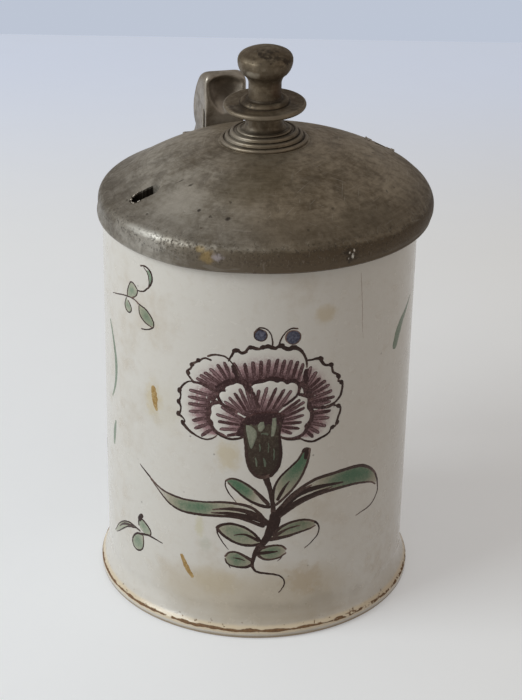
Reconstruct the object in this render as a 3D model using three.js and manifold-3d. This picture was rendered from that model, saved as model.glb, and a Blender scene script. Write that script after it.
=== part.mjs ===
// Pewter-lidded faience jug: a cylindrical tin-glazed jug with an ear handle and a hinged domed lid.
// Millimetres, +Z up. The origin is the centre of the base, and the handle stands towards +Y.
import * as THREE from 'three';
import { mergeVertices } from 'three/addons/utils/BufferGeometryUtils.js';
import Module from 'manifold-3d';

const wasm = await Module();
wasm.setup();

// Gaps between pieces that touch on the real object
const JOINT_GAP = 0.3;
const RUNNING_GAP = 0.4;

// How far a faceted curve may lie from the true one
const ARC_TOLERANCE = 0.07;

// Jug body. A bow is how far a curved stretch of a profile stands out from its chord
const BODY_RADIUS = 50;
const BODY_HEIGHT = 135;
const BODY_WALL = 5;
const BODY_FLOOR = 7;
const FLOOR_FILLET = 8;
const FOOT_FLARE = 2.6;
const FOOT_EDGE_HEIGHT = 4.1;
const FOOT_SWEEP_HEIGHT = 7.4;
const FOOT_SWEEP_BOW = 0.9;
const FOOT_CHAMFER = 0.8;
const FOOT_CHAMFER_BOW = 0.2;

// Handle: an ear-shaped strap, flattened oval in section, drawn by two curves that meet at its belly
const HANDLE_WIDTH = 20;
const HANDLE_THICKNESS = 11.5;
const HANDLE_TIP_WIDTH = 14.5;
const HANDLE_TIP_THICKNESS = 8.5;
const HANDLE_REACH = 37;
const HANDLE_TOP_DROP = 22.5;
const HANDLE_CROWN_RISE = 11;
const HANDLE_CROWN_PULL = 15;
const HANDLE_BELLY_RISE = 16;
const HANDLE_BELLY_FULLNESS = 0.65;
const HANDLE_TIP_HEIGHT = 37;
const HANDLE_TIP_PULL = 22;
const HANDLE_TIP_LIFT = 9;
const HANDLE_ROOT_DEPTH = 3;
const HANDLE_SQUARENESS = 0.85;
const HANDLE_STEPS = 34;
const HANDLE_SIDES = 16;

// Luting: slip thickens the handle where it meets the wall, over a share of its length
const LUTING_THICKNESS = 1.35;
const LUTING_SHARE = 0.12;

// Lid: a thin cast dome with a deep moulded rim that hangs over the mouth
const LID_SHIFT = 1.5;
const SKIRT_CLEARANCE = 0.8;
const SKIRT_WALL = 1.8;
const SKIRT_DROP = 4.9;
const SKIRT_EDGE = 0.7;
const SKIRT_CORNER = 1;
const BAND_HEIGHT = 8.4;
const BAND_WIDEST_HEIGHT = 3.6;
const BAND_BOW = 0.15;
const SHOULDER_INSET = 2.6;
const SHOULDER_BOW = 0.75;
const SEAT_WIDTH = 3.6;
const SEAT_THICKNESS = 4.4;
const SEAT_TAPER = 1.2;
const DOME_RISE = 14.8;
const DOME_BOW = 2.3;
const DOME_INNER_BOW = 1.4;
const LID_SHEET = 2;
const KNOP_GROOVE_WIDTH = 0.8;
const KNOP_GROOVE_DEPTH = 0.5;
const LID_SLOT_LENGTH = 8.5;
const LID_SLOT_WIDTH = 3;
const LID_SLOT_RADIUS = 43;
const LID_SLOT_BEARING = 194;
const LID_SLOT_TURN = 164.5;

// Knop: ringed base, thin collar plate and mushroom head, on a spigot through the lid
const KNOP_RING_RADII = [14, 12.4, 10.8];
const KNOP_RING_RISE = 1.1;
const KNOP_RING_EDGE = 0.15;
const KNOP_RING_ROUND = 1.1;
const KNOP_RING_BOW = 0.42;
const KNOP_NECK_RADIUS = 6;
const KNOP_NECK_HEIGHT = 7;
const KNOP_NECK_FILLET = 1.5;
const KNOP_NECK_BOW = 0.7;
const KNOP_COLLAR_FLARE = 2.4;
const KNOP_COLLAR_HEIGHT = 2;
const KNOP_COLLAR_BOW = 0.4;
const KNOP_PLATE_RADIUS = 13.25;
const KNOP_PLATE_THICKNESS = 1.7;
const KNOP_PLATE_ROUND = 0.6;
const KNOP_STEP_RADIUS = 7.8;
const KNOP_STEP_HEIGHT = 1.3;
const KNOP_STEP_ROUND = 1.4;
const KNOP_STEP_BOW = 0.4;
const KNOP_WAIST_RADIUS = 5.2;
const KNOP_WAIST_HEIGHT = 5.2;
const KNOP_WAIST_FILLET = 0.5;
const KNOP_HEAD_RADIUS = 8.7;
const KNOP_HEAD_TAPER = 1.3;
const KNOP_HEAD_FLARE = 4.3;
const KNOP_HEAD_FLARE_BOW = 0.7;
const KNOP_HEAD_SIDE = 4;
const KNOP_HEAD_SIDE_BOW = 0.35;
const KNOP_HEAD_CROWN = 4.2;
const KNOP_HEAD_CROWN_BOW = 1.7;
const KNOP_SPIGOT_RADIUS = 3;
const KNOP_RIVET_SPREAD = 1.6;
const KNOP_RIVET_HEIGHT = 1.4;
const KNOP_RIVET_BOW = 0.5;

// Hinge: five knuckles on one pin, behind the rim
const HINGE_SETBACK = 8.9;
const HINGE_RISE = 1.4;
const KNUCKLE_RADIUS = 3.6;
const KNUCKLE_WIDTH = 4;
const KNUCKLE_COUNT = 5;
const PIN_RADIUS = 1.5;
const PIN_HEAD_RADIUS = 2.3;
const PIN_HEAD_HEIGHT = 0.9;
const PIN_HEAD_BOW = 0.5;

// Clasp: the band cast round the handle under the hinge, with a saddle that carries three knuckles
const CLASP_LENGTH = 9;
const CLASP_WALL = 1.8;
const SADDLE_WIDTH = 16;
const SADDLE_SPREAD = 1.1;
const SADDLE_DEPTH = 4;
const SADDLE_BARREL_ANGLE = 30;
const SADDLE_WEB_SHARE = 0.6;

// Thumbpiece: a rolled strap with a spoon-shaped hollow for the thumb, and the leaf that it stands on
const THUMB_WIDTH = 12.6;
const THUMB_FRONT = 17;
const THUMB_HEIGHT = 29;
const THUMB_ROLL = 6;
const THUMB_BULGE = 0.9;
const THUMB_BULGE_HEIGHT = 13;
const THUMB_BACK_PULL = 4;
const THUMB_NAPE_PULL = 6;
const THUMB_LIP = 1.6;
const THUMB_LIP_ROUND = 1;
const THUMB_FOOT_INSET = 2.6;
const THUMB_CORNER = 3;
const THUMB_SLOT_SETBACK = 1.3;
const THUMB_SLOT_WIDTH = 2.8;
const THUMB_SLOT_HEIGHT = 16.5;
const THUMB_HOLLOW_WIDTH = 11.4;
const THUMB_HOLLOW_DEPTH = 3;
const THUMB_HOLLOW_BOTTOM = 15;
const THUMB_HOLLOW_TOP = 28.2;
const THUMB_HOLLOW_FULLEST = 0.8;
const THUMB_HOLLOW_SIDE_BOW = 1.5;
const THUMB_HOLLOW_TOP_BOW = 1.2;
const LEAF_FRONT_HEIGHT = 11.6;
const LEAF_REAR_HEIGHT = 7.4;
const LEAF_CHAMFER = 0.6;
const LEAF_OVERLAP = 4;
const LEAF_HEEL_SHARE = 0.35;
const LEAF_BARREL_ANGLE = 80;

// Facets round each turned piece
const BODY_FACETS = 72;
const KNOP_FACETS = 36;
const BARREL_FACETS = 20;
const HOLLOW_FACETS = 24;

// Places that follow from the sizes above
const LID_RADIUS = BODY_RADIUS + LID_SHIFT + SKIRT_CLEARANCE + SKIRT_WALL;
const SKIRT_Z = BODY_HEIGHT - SKIRT_DROP;
const SEAT_Z = BODY_HEIGHT + JOINT_GAP;
const SHOULDER_Z = SKIRT_Z + BAND_HEIGHT;
const SHOULDER_RADIUS = LID_RADIUS - SHOULDER_INSET;
const CROWN_Z = SHOULDER_Z + DOME_RISE;
const CROWN_RADIUS = KNOP_RING_RADII[0] + JOINT_GAP;
const SEAT_INNER_RADIUS = BODY_RADIUS - BODY_WALL / 2 - SEAT_WIDTH / 2;
const HINGE_Y = LID_RADIUS + HINGE_SETBACK;
const HINGE_Z = SKIRT_Z + HINGE_RISE;
const THUMB_FRONT_Y = HINGE_Y - THUMB_FRONT;
const LEAF_FRONT_Y = THUMB_FRONT_Y + THUMB_SLOT_SETBACK + THUMB_SLOT_WIDTH;
const LEAF_REAR_Y = HINGE_Y - THUMB_FOOT_INSET;

// Adds an arc to a profile of [radius, height] points; a positive bow stands out to the right of travel
function arcTo(profile, radius, height, bow) {
  const [r0, z0] = profile[profile.length - 1];
  const dr = radius - r0;
  const dz = height - z0;
  const chord = Math.hypot(dr, dz);
  const half = 2 * Math.atan((2 * bow) / chord);
  const arcRadius = chord / (2 * Math.sin(half));
  const steps = Math.ceil(Math.sqrt(Math.abs(bow) / ARC_TOLERANCE));
  for (let i = 1; i <= steps; i += 1) {
    const turn = half * ((2 * i) / steps - 1);
    const along = 0.5 + (arcRadius * Math.sin(turn)) / chord;
    const out = arcRadius * (Math.cos(turn) - Math.cos(half));
    profile.push([r0 + dr * along + (dz / chord) * out, z0 + dz * along - (dr / chord) * out]);
  }
}

// The bow of a quarter circle of some radius
function quarterBow(radius) {
  return radius * (1 - Math.SQRT1_2);
}

// Turns a closed three.js geometry into a solid, without the faces that shrink to a line at a pole
function solidOf(geometry) {
  geometry.deleteAttribute('normal');
  geometry.deleteAttribute('uv');
  const merged = mergeVertices(geometry, 1e-4);
  const corners = merged.index.array;
  const faces = [];
  for (let i = 0; i < corners.length; i += 3) {
    const [a, b, c] = [corners[i], corners[i + 1], corners[i + 2]];
    if (a !== b && b !== c && c !== a) faces.push(a, b, c);
  }
  return new wasm.Manifold(new wasm.Mesh({
    numProp: 3,
    vertProperties: new Float32Array(merged.attributes.position.array),
    triVerts: new Uint32Array(faces),
  }));
}

function geometryOf(solid) {
  const mesh = solid.getMesh();
  const geometry = new THREE.BufferGeometry();
  geometry.setAttribute('position', new THREE.BufferAttribute(mesh.vertProperties, 3));
  geometry.setIndex(new THREE.BufferAttribute(mesh.triVerts, 1));
  geometry.computeVertexNormals();
  return geometry;
}

// A closed profile of [radius, height] points, listed upwards along the outside, turned about Z
function revolve(profile, facets, centreX = 0) {
  const points = profile.map(([radius, height]) => new THREE.Vector2(radius, height));
  const geometry = new THREE.LatheGeometry(points, facets);
  geometry.rotateX(Math.PI / 2);
  geometry.translate(centreX, 0, 0);
  return solidOf(geometry);
}

// A side view drawn in Y and Z, given its width along X
function extrudeAcross(shape, width) {
  const geometry = new THREE.ExtrudeGeometry(shape, { depth: width, bevelEnabled: false, curveSegments: 7 });
  geometry.translate(0, 0, -width / 2);
  geometry.applyMatrix4(new THREE.Matrix4().makeBasis(
    new THREE.Vector3(0, 1, 0),
    new THREE.Vector3(0, 0, 1),
    new THREE.Vector3(1, 0, 0),
  ));
  return solidOf(geometry);
}

function outline(points) {
  return new THREE.Shape(points.map(([y, z]) => new THREE.Vector2(y, z)));
}

// A round bar along X, centred on the hinge line
function hingeBar(radius, from, to) {
  const bar = new THREE.CylinderGeometry(radius, radius, to - from, BARREL_FACETS);
  bar.rotateZ(Math.PI / 2);
  bar.translate((from + to) / 2, HINGE_Y, HINGE_Z);
  return solidOf(bar);
}

// A point on the hinge barrel in side view, at an angle above its rear
function onBarrel(degrees) {
  const angle = THREE.MathUtils.degToRad(degrees);
  return [HINGE_Y + KNUCKLE_RADIUS * Math.cos(angle), HINGE_Z + KNUCKLE_RADIUS * Math.sin(angle)];
}

function jugProfile() {
  const footRadius = BODY_RADIUS + FOOT_FLARE;
  const sweepTop = FOOT_EDGE_HEIGHT + FOOT_SWEEP_HEIGHT;
  const lipRadius = BODY_WALL / 2;
  const inside = BODY_RADIUS - BODY_WALL;
  const profile = [[0, 0], [footRadius - FOOT_CHAMFER, 0]];
  arcTo(profile, footRadius, FOOT_CHAMFER, FOOT_CHAMFER_BOW);
  profile.push([footRadius, FOOT_EDGE_HEIGHT]);
  arcTo(profile, BODY_RADIUS, sweepTop, -FOOT_SWEEP_BOW);
  profile.push([BODY_RADIUS, BODY_HEIGHT - lipRadius]);
  arcTo(profile, inside, BODY_HEIGHT - lipRadius, lipRadius);
  profile.push([inside, BODY_FLOOR + FLOOR_FILLET]);
  arcTo(profile, inside - FLOOR_FILLET, BODY_FLOOR, -quarterBow(FLOOR_FILLET));
  profile.push([0, BODY_FLOOR]);
  return profile;
}

// The whole outside of the jug as one filled solid, larger by a gap, to fit other pieces to
function jugEnvelope(gap) {
  const footRadius = BODY_RADIUS + FOOT_FLARE + gap;
  const reach = BODY_RADIUS + gap;
  const sweepTop = FOOT_EDGE_HEIGHT + FOOT_SWEEP_HEIGHT + gap;
  return revolve([
    [0, -gap], [footRadius, -gap], [footRadius, FOOT_EDGE_HEIGHT + gap],
    [reach, sweepTop], [reach, BODY_HEIGHT + gap], [0, BODY_HEIGHT + gap],
  ], BODY_FACETS);
}

// The handle's centre line, from inside the wall at the top to inside the wall at the foot
function handlePath() {
  const wall = BODY_RADIUS - HANDLE_ROOT_DEPTH;
  const far = BODY_RADIUS + HANDLE_REACH;
  const top = BODY_HEIGHT - HANDLE_TOP_DROP;
  const belly = (top + HANDLE_TIP_HEIGHT) / 2 + HANDLE_BELLY_RISE;
  const path = new THREE.CurvePath();
  path.add(new THREE.CubicBezierCurve3(
    new THREE.Vector3(0, wall, top),
    new THREE.Vector3(0, wall + HANDLE_CROWN_PULL, top + HANDLE_CROWN_RISE),
    new THREE.Vector3(0, far, top + HANDLE_CROWN_RISE),
    new THREE.Vector3(0, far, belly),
  ));
  path.add(new THREE.CubicBezierCurve3(
    new THREE.Vector3(0, far, belly),
    new THREE.Vector3(0, far, belly - HANDLE_BELLY_FULLNESS * (belly - HANDLE_TIP_HEIGHT)),
    new THREE.Vector3(0, wall + HANDLE_TIP_PULL, HANDLE_TIP_HEIGHT + HANDLE_TIP_LIFT),
    new THREE.Vector3(0, wall, HANDLE_TIP_HEIGHT),
  ));
  return path;
}

// A stretch of the handle, swept from one share of its length to another and grown by a margin
function handleStretch(start, end, steps, margin) {
  const path = handlePath();
  const sides = HANDLE_SIDES;
  const positions = [];
  for (let i = 0; i <= steps; i += 1) {
    const t = start + ((end - start) * i) / steps;
    const centre = path.getPointAt(t);
    const along = path.getTangentAt(t);
    const outward = new THREE.Vector3(0, -along.z, along.y).negate();
    const nearWall = Math.max(0, 1 - Math.min(t, 1 - t) / LUTING_SHARE);
    const luting = 1 + (LUTING_THICKNESS - 1) * nearWall ** 2;
    const width = THREE.MathUtils.lerp(HANDLE_WIDTH, HANDLE_TIP_WIDTH, t) * luting;
    const thickness = THREE.MathUtils.lerp(HANDLE_THICKNESS, HANDLE_TIP_THICKNESS, t) * luting;
    const halfWidth = width / 2 + margin;
    const halfThick = thickness / 2 + margin;
    for (let j = 0; j < sides; j += 1) {
      const angle = (2 * Math.PI * j) / sides;
      const squared = Math.abs(Math.cos(angle)) ** HANDLE_SQUARENESS;
      const across = Math.sign(Math.cos(angle)) * squared * halfWidth;
      const lift = Math.sin(angle) * halfThick;
      positions.push(across, centre.y + outward.y * lift, centre.z + outward.z * lift);
    }
  }
  const corners = [];
  for (let i = 0; i < steps; i += 1) {
    for (let j = 0; j < sides; j += 1) {
      const a = i * sides + j;
      const b = i * sides + ((j + 1) % sides);
      corners.push(a, b, a + sides, b, b + sides, a + sides);
    }
  }
  const last = steps * sides;
  for (let j = 1; j < sides - 1; j += 1) {
    corners.push(0, j + 1, j, last, last + j, last + j + 1);
  }
  const geometry = new THREE.BufferGeometry();
  geometry.setAttribute('position', new THREE.Float32BufferAttribute(positions, 3));
  geometry.setIndex(corners);
  return solidOf(geometry);
}

function handleSolid() {
  return handleStretch(0, 1, HANDLE_STEPS, 0).subtract(jugEnvelope(JOINT_GAP));
}

// The lid's outside, from the skirt's lower edge up to the seat of the knop; grown by a margin
function lidOutside(margin = 0) {
  const profile = [[LID_RADIUS - SKIRT_EDGE + margin, SKIRT_Z - margin]];
  arcTo(profile, LID_RADIUS + margin, SKIRT_Z + BAND_WIDEST_HEIGHT, BAND_BOW);
  arcTo(profile, SHOULDER_RADIUS + margin, SHOULDER_Z + margin, SHOULDER_BOW);
  arcTo(profile, CROWN_RADIUS + KNOP_GROOVE_WIDTH, CROWN_Z + margin, DOME_BOW);
  return profile;
}

function lidSolid() {
  const profile = lidOutside();
  const skirtInside = LID_RADIUS - SKIRT_WALL;
  profile.push([CROWN_RADIUS + KNOP_GROOVE_WIDTH / 2, CROWN_Z - KNOP_GROOVE_DEPTH], [CROWN_RADIUS, CROWN_Z]);
  profile.push([0, CROWN_Z], [0, CROWN_Z - LID_SHEET], [CROWN_RADIUS, CROWN_Z - LID_SHEET]);
  arcTo(profile, SEAT_INNER_RADIUS - SEAT_TAPER, SEAT_Z + SEAT_THICKNESS, -DOME_INNER_BOW);
  profile.push([SEAT_INNER_RADIUS, SEAT_Z]);
  profile.push([skirtInside - SKIRT_CORNER, SEAT_Z], [skirtInside, SEAT_Z - SKIRT_CORNER]);
  profile.push([skirtInside, SKIRT_Z + SKIRT_EDGE / 2], [skirtInside + SKIRT_EDGE, SKIRT_Z]);
  profile.push(profile[0]);
  const spigotHole = new THREE.CylinderGeometry(
    KNOP_SPIGOT_RADIUS + JOINT_GAP, KNOP_SPIGOT_RADIUS + JOINT_GAP, 4 * LID_SHEET, KNOP_FACETS,
  );
  spigotHole.rotateX(Math.PI / 2);
  spigotHole.translate(LID_SHIFT, 0, CROWN_Z);
  return revolve(profile, BODY_FACETS, LID_SHIFT)
    .subtract(solidOf(spigotHole))
    .subtract(lidSlot(0))
    .subtract(lidSlot(180));
}

// A round-ended slot cut upright through the dome; the two slots lie opposite each other
function lidSlot(turn) {
  const end = LID_SLOT_WIDTH / 2;
  const reach = LID_SLOT_LENGTH / 2 - end;
  const shape = new THREE.Shape();
  shape.absarc(reach, 0, end, -Math.PI / 2, Math.PI / 2);
  shape.absarc(-reach, 0, end, Math.PI / 2, 1.5 * Math.PI);
  const depth = CROWN_Z - SEAT_Z;
  const slot = new THREE.ExtrudeGeometry(shape, { depth, bevelEnabled: false, curveSegments: 5 });
  const bearing = THREE.MathUtils.degToRad(LID_SLOT_BEARING + turn);
  slot.rotateZ(THREE.MathUtils.degToRad(LID_SLOT_TURN));
  slot.translate(
    LID_SHIFT + LID_SLOT_RADIUS * Math.cos(bearing),
    LID_SLOT_RADIUS * Math.sin(bearing),
    SEAT_Z,
  );
  return solidOf(slot);
}

function knopSolid() {
  const base = CROWN_Z + JOINT_GAP;
  const rivetTop = CROWN_Z - LID_SHEET - JOINT_GAP;
  const profile = [[0, rivetTop - KNOP_RIVET_HEIGHT]];
  arcTo(profile, KNOP_SPIGOT_RADIUS + KNOP_RIVET_SPREAD, rivetTop, KNOP_RIVET_BOW);
  profile.push([KNOP_SPIGOT_RADIUS, rivetTop], [KNOP_SPIGOT_RADIUS, base]);
  profile.push([KNOP_RING_RADII[0] - KNOP_RING_EDGE, base]);
  let z = base;
  for (const radius of KNOP_RING_RADII) {
    profile.push([radius, z + KNOP_RING_EDGE]);
    arcTo(profile, radius - KNOP_RING_ROUND, z + KNOP_RING_RISE, KNOP_RING_BOW);
    z += KNOP_RING_RISE;
  }
  const neckTop = z + KNOP_NECK_HEIGHT;
  arcTo(profile, KNOP_NECK_RADIUS, z + KNOP_NECK_FILLET, -KNOP_NECK_BOW);
  profile.push([KNOP_NECK_RADIUS, neckTop - KNOP_COLLAR_HEIGHT]);
  arcTo(profile, KNOP_NECK_RADIUS + KNOP_COLLAR_FLARE, neckTop, -KNOP_COLLAR_BOW);
  const plateTop = neckTop + KNOP_PLATE_THICKNESS;
  profile.push([KNOP_PLATE_RADIUS - KNOP_PLATE_ROUND, neckTop]);
  arcTo(profile, KNOP_PLATE_RADIUS - KNOP_PLATE_ROUND, plateTop, KNOP_PLATE_ROUND);
  profile.push([KNOP_STEP_RADIUS, plateTop]);
  arcTo(profile, KNOP_STEP_RADIUS - KNOP_STEP_ROUND, plateTop + KNOP_STEP_HEIGHT, KNOP_STEP_BOW);
  profile.push([KNOP_WAIST_RADIUS, plateTop + KNOP_STEP_HEIGHT + KNOP_WAIST_FILLET]);
  const waistTop = plateTop + KNOP_WAIST_HEIGHT;
  profile.push([KNOP_WAIST_RADIUS, waistTop]);
  arcTo(profile, KNOP_HEAD_RADIUS - KNOP_HEAD_TAPER, waistTop + KNOP_HEAD_FLARE, -KNOP_HEAD_FLARE_BOW);
  const widest = waistTop + KNOP_HEAD_FLARE + KNOP_HEAD_SIDE;
  arcTo(profile, KNOP_HEAD_RADIUS, widest, KNOP_HEAD_SIDE_BOW);
  arcTo(profile, 0, widest + KNOP_HEAD_CROWN, KNOP_HEAD_CROWN_BOW);
  return revolve(profile, KNOP_FACETS, LID_SHIFT);
}

// The stretch of the hinge line that a knuckle fills, counted from -X, wider by a margin at each end
function knuckleSpan(index, margin) {
  const left = (index - KNUCKLE_COUNT / 2) * KNUCKLE_WIDTH;
  return [left - margin, left + KNUCKLE_WIDTH + margin];
}

// Adds every second knuckle to a hinge plate and cuts room for the knuckles between them
function withKnuckles(plate, first) {
  let solid = plate;
  for (let index = 1 - first; index < KNUCKLE_COUNT; index += 2) {
    solid = solid.subtract(hingeBar(KNUCKLE_RADIUS + RUNNING_GAP, ...knuckleSpan(index, JOINT_GAP / 2)));
  }
  for (let index = first; index < KNUCKLE_COUNT; index += 2) {
    solid = solid.add(hingeBar(KNUCKLE_RADIUS, ...knuckleSpan(index, -JOINT_GAP / 2)));
  }
  const halfHinge = (KNUCKLE_COUNT * KNUCKLE_WIDTH) / 2 + JOINT_GAP;
  return solid.subtract(hingeBar(PIN_RADIUS + JOINT_GAP, -halfHinge, halfHinge));
}

// Where along the handle the clasp sits: right under the hinge line, found by halving the first third
function claspPlace() {
  const path = handlePath();
  let low = 0;
  let high = 1 / 3;
  for (let i = 0; i < 12; i += 1) {
    const middle = (low + high) / 2;
    if (path.getPointAt(middle).y < HINGE_Y) low = middle;
    else high = middle;
  }
  return low;
}

function claspSolid() {
  const place = claspPlace();
  const halfLength = CLASP_LENGTH / 2 / handlePath().getLength();
  const band = handleStretch(place - halfLength, place + halfLength, 4, JOINT_GAP + CLASP_WALL);
  const hole = handleStretch(place - 2.5 * halfLength, place + 2.5 * halfLength, 10, JOINT_GAP);
  const crown = handlePath().getPointAt(place).z + HANDLE_THICKNESS / 2;
  const foot = KNUCKLE_RADIUS + SADDLE_SPREAD;
  const saddle = extrudeAcross(outline([
    [HINGE_Y - foot, crown - SADDLE_DEPTH], [HINGE_Y + foot, crown - SADDLE_DEPTH],
    [HINGE_Y + foot, crown + CLASP_WALL], onBarrel(-SADDLE_BARREL_ANGLE),
    [HINGE_Y, HINGE_Z], onBarrel(180 + SADDLE_BARREL_ANGLE),
    [HINGE_Y - foot, crown + CLASP_WALL],
  ]), SADDLE_WIDTH);
  const halfWeb = SADDLE_WEB_SHARE * KNUCKLE_RADIUS;
  const web = extrudeAcross(outline([
    [HINGE_Y - halfWeb, crown], [HINGE_Y + halfWeb, crown],
    [HINGE_Y + halfWeb, HINGE_Z], [HINGE_Y - halfWeb, HINGE_Z],
  ]), KNUCKLE_COUNT * KNUCKLE_WIDTH - JOINT_GAP);
  return withKnuckles(band.add(saddle).add(web).subtract(hole), 0);
}

// The leaf's plate is drawn a little into the lid, and then cut to fit over it
function leafSolid() {
  const heel = HINGE_Z - LEAF_HEEL_SHARE * KNUCKLE_RADIUS;
  const rearTop = HINGE_Z + LEAF_REAR_HEIGHT;
  const plate = extrudeAcross(outline([
    [LEAF_FRONT_Y, SHOULDER_Z - LEAF_OVERLAP], [LID_RADIUS - LEAF_OVERLAP, heel], [HINGE_Y, heel],
    onBarrel(LEAF_BARREL_ANGLE), [LEAF_REAR_Y + LEAF_CHAMFER, rearTop - LEAF_CHAMFER], [LEAF_REAR_Y, rearTop],
    [LEAF_FRONT_Y, HINGE_Z + LEAF_FRONT_HEIGHT],
  ]), THUMB_WIDTH);
  return withKnuckles(plate, 1).subtract(lidEnvelope(JOINT_GAP));
}

// The lid's outside as one filled solid, larger by a gap, to fit the leaf and the thumbpiece to
function lidEnvelope(gap) {
  const profile = [[0, SKIRT_Z - gap], ...lidOutside(gap), [0, CROWN_Z + gap]];
  return revolve(profile, BODY_FACETS, LID_SHIFT);
}

function thumbSolid() {
  const top = HINGE_Z + THUMB_HEIGHT;
  const rear = HINGE_Y + THUMB_BULGE;
  const rearHeight = HINGE_Z + THUMB_BULGE_HEIGHT;
  const slotRear = LEAF_FRONT_Y;
  const slotFront = THUMB_FRONT_Y + THUMB_SLOT_SETBACK;
  const slotTop = HINGE_Z + THUMB_SLOT_HEIGHT;
  const slotRound = THUMB_SLOT_WIDTH / 2;
  const nape = THUMB_FRONT_Y + THUMB_ROLL;
  const shape = new THREE.Shape();
  shape.moveTo(THUMB_FRONT_Y, SHOULDER_Z);
  shape.lineTo(slotFront, SHOULDER_Z);
  shape.lineTo(slotFront, slotTop - slotRound);
  shape.absarc((slotFront + slotRear) / 2, slotTop - slotRound, slotRound, Math.PI, 0, true);
  shape.lineTo(slotRear, HINGE_Z + LEAF_FRONT_HEIGHT + JOINT_GAP);
  shape.lineTo(LEAF_REAR_Y, HINGE_Z + LEAF_REAR_HEIGHT + JOINT_GAP);
  shape.quadraticCurveTo(rear, rearHeight - THUMB_BACK_PULL, rear, rearHeight);
  shape.bezierCurveTo(
    rear, rearHeight + THUMB_BACK_PULL,
    nape + THUMB_NAPE_PULL, top - THUMB_BACK_PULL,
    nape, top - THUMB_LIP / 2,
  );
  shape.quadraticCurveTo(
    THUMB_FRONT_Y + THUMB_LIP_ROUND, top + THUMB_LIP_ROUND,
    THUMB_FRONT_Y, top - THUMB_LIP,
  );
  const strap = extrudeAcross(shape, THUMB_WIDTH);
  return strap
    .intersect(thumbFrontView(top))
    .subtract(thumbHollow())
    .subtract(lidEnvelope(JOINT_GAP));
}

// The front view of the thumbpiece, with its two rounded upper corners
function thumbFrontView(top) {
  const side = THUMB_WIDTH / 2;
  const shape = new THREE.Shape();
  shape.moveTo(-side, SKIRT_Z);
  shape.lineTo(side, SKIRT_Z);
  shape.lineTo(side, top - THUMB_CORNER);
  shape.quadraticCurveTo(side, top, side - THUMB_CORNER, top);
  shape.lineTo(THUMB_CORNER - side, top);
  shape.quadraticCurveTo(-side, top, -side, top - THUMB_CORNER);
  const depth = THUMB_FRONT + 2 * THUMB_ROLL;
  const block = new THREE.ExtrudeGeometry(shape, { depth, bevelEnabled: false, curveSegments: 5 });
  block.rotateX(Math.PI / 2);
  block.translate(0, THUMB_FRONT_Y - THUMB_ROLL + depth, 0);
  return solidOf(block);
}

// A spoon-shaped cutter: a turned bulb, flattened to the hollow's depth
function thumbHollow() {
  const low = HINGE_Z + THUMB_HOLLOW_BOTTOM;
  const high = HINGE_Z + THUMB_HOLLOW_TOP;
  const wide = THUMB_HOLLOW_WIDTH / 2;
  const profile = [[0, low]];
  arcTo(profile, wide, low + THUMB_HOLLOW_FULLEST * (high - low), THUMB_HOLLOW_SIDE_BOW);
  arcTo(profile, 0, high, THUMB_HOLLOW_TOP_BOW);
  const points = profile.map(([radius, height]) => new THREE.Vector2(radius, height));
  const bulb = new THREE.LatheGeometry(points, HOLLOW_FACETS);
  bulb.rotateX(Math.PI / 2);
  bulb.scale(1, THUMB_HOLLOW_DEPTH / wide, 1);
  bulb.translate(0, THUMB_FRONT_Y, 0);
  return solidOf(bulb);
}

function pinSolid() {
  const half = (KNUCKLE_COUNT * KNUCKLE_WIDTH) / 2 + JOINT_GAP / 2;
  const profile = [[0, -half - PIN_HEAD_HEIGHT]];
  arcTo(profile, PIN_HEAD_RADIUS, -half, PIN_HEAD_BOW);
  profile.push([PIN_RADIUS, -half], [PIN_RADIUS, half], [PIN_HEAD_RADIUS, half]);
  arcTo(profile, 0, half + PIN_HEAD_HEIGHT, PIN_HEAD_BOW);
  const points = profile.map(([radius, height]) => new THREE.Vector2(radius, height));
  const pin = new THREE.LatheGeometry(points, BARREL_FACETS);
  pin.rotateZ(Math.PI / 2);
  pin.translate(0, HINGE_Y, HINGE_Z);
  return solidOf(pin);
}

function piece(name, solid, color, roughness, metalness) {
  const material = new THREE.MeshStandardMaterial({ color, roughness, metalness });
  const mesh = new THREE.Mesh(geometryOf(solid), material);
  mesh.name = name;
  return mesh;
}

const FAIENCE = 0xc9c4bb;
const PEWTER = 0x7a746b;

const lid = new THREE.Group();
lid.add(
  piece('lid_shell', lidSolid(), PEWTER, 0.45, 0.9),
  piece('lid_knop', knopSolid(), PEWTER, 0.4, 0.9),
  piece('thumbpiece', thumbSolid(), PEWTER, 0.4, 0.9),
  piece('lid_hinge_leaf', leafSolid(), PEWTER, 0.45, 0.9),
);

const jug = new THREE.Group();
jug.add(
  piece('faience_body', revolve(jugProfile(), BODY_FACETS), FAIENCE, 0.2, 0),
  piece('faience_handle', handleSolid(), FAIENCE, 0.2, 0),
  piece('handle_clasp', claspSolid(), PEWTER, 0.45, 0.9),
  piece('hinge_pin', pinSolid(), PEWTER, 0.4, 0.9),
);

const liddedJug = new THREE.Group();
liddedJug.add(jug, lid);

export default liddedJug;
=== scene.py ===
import functools
import math

import bmesh
import bpy
import numpy as np
from mathutils import Matrix, Vector


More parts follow.
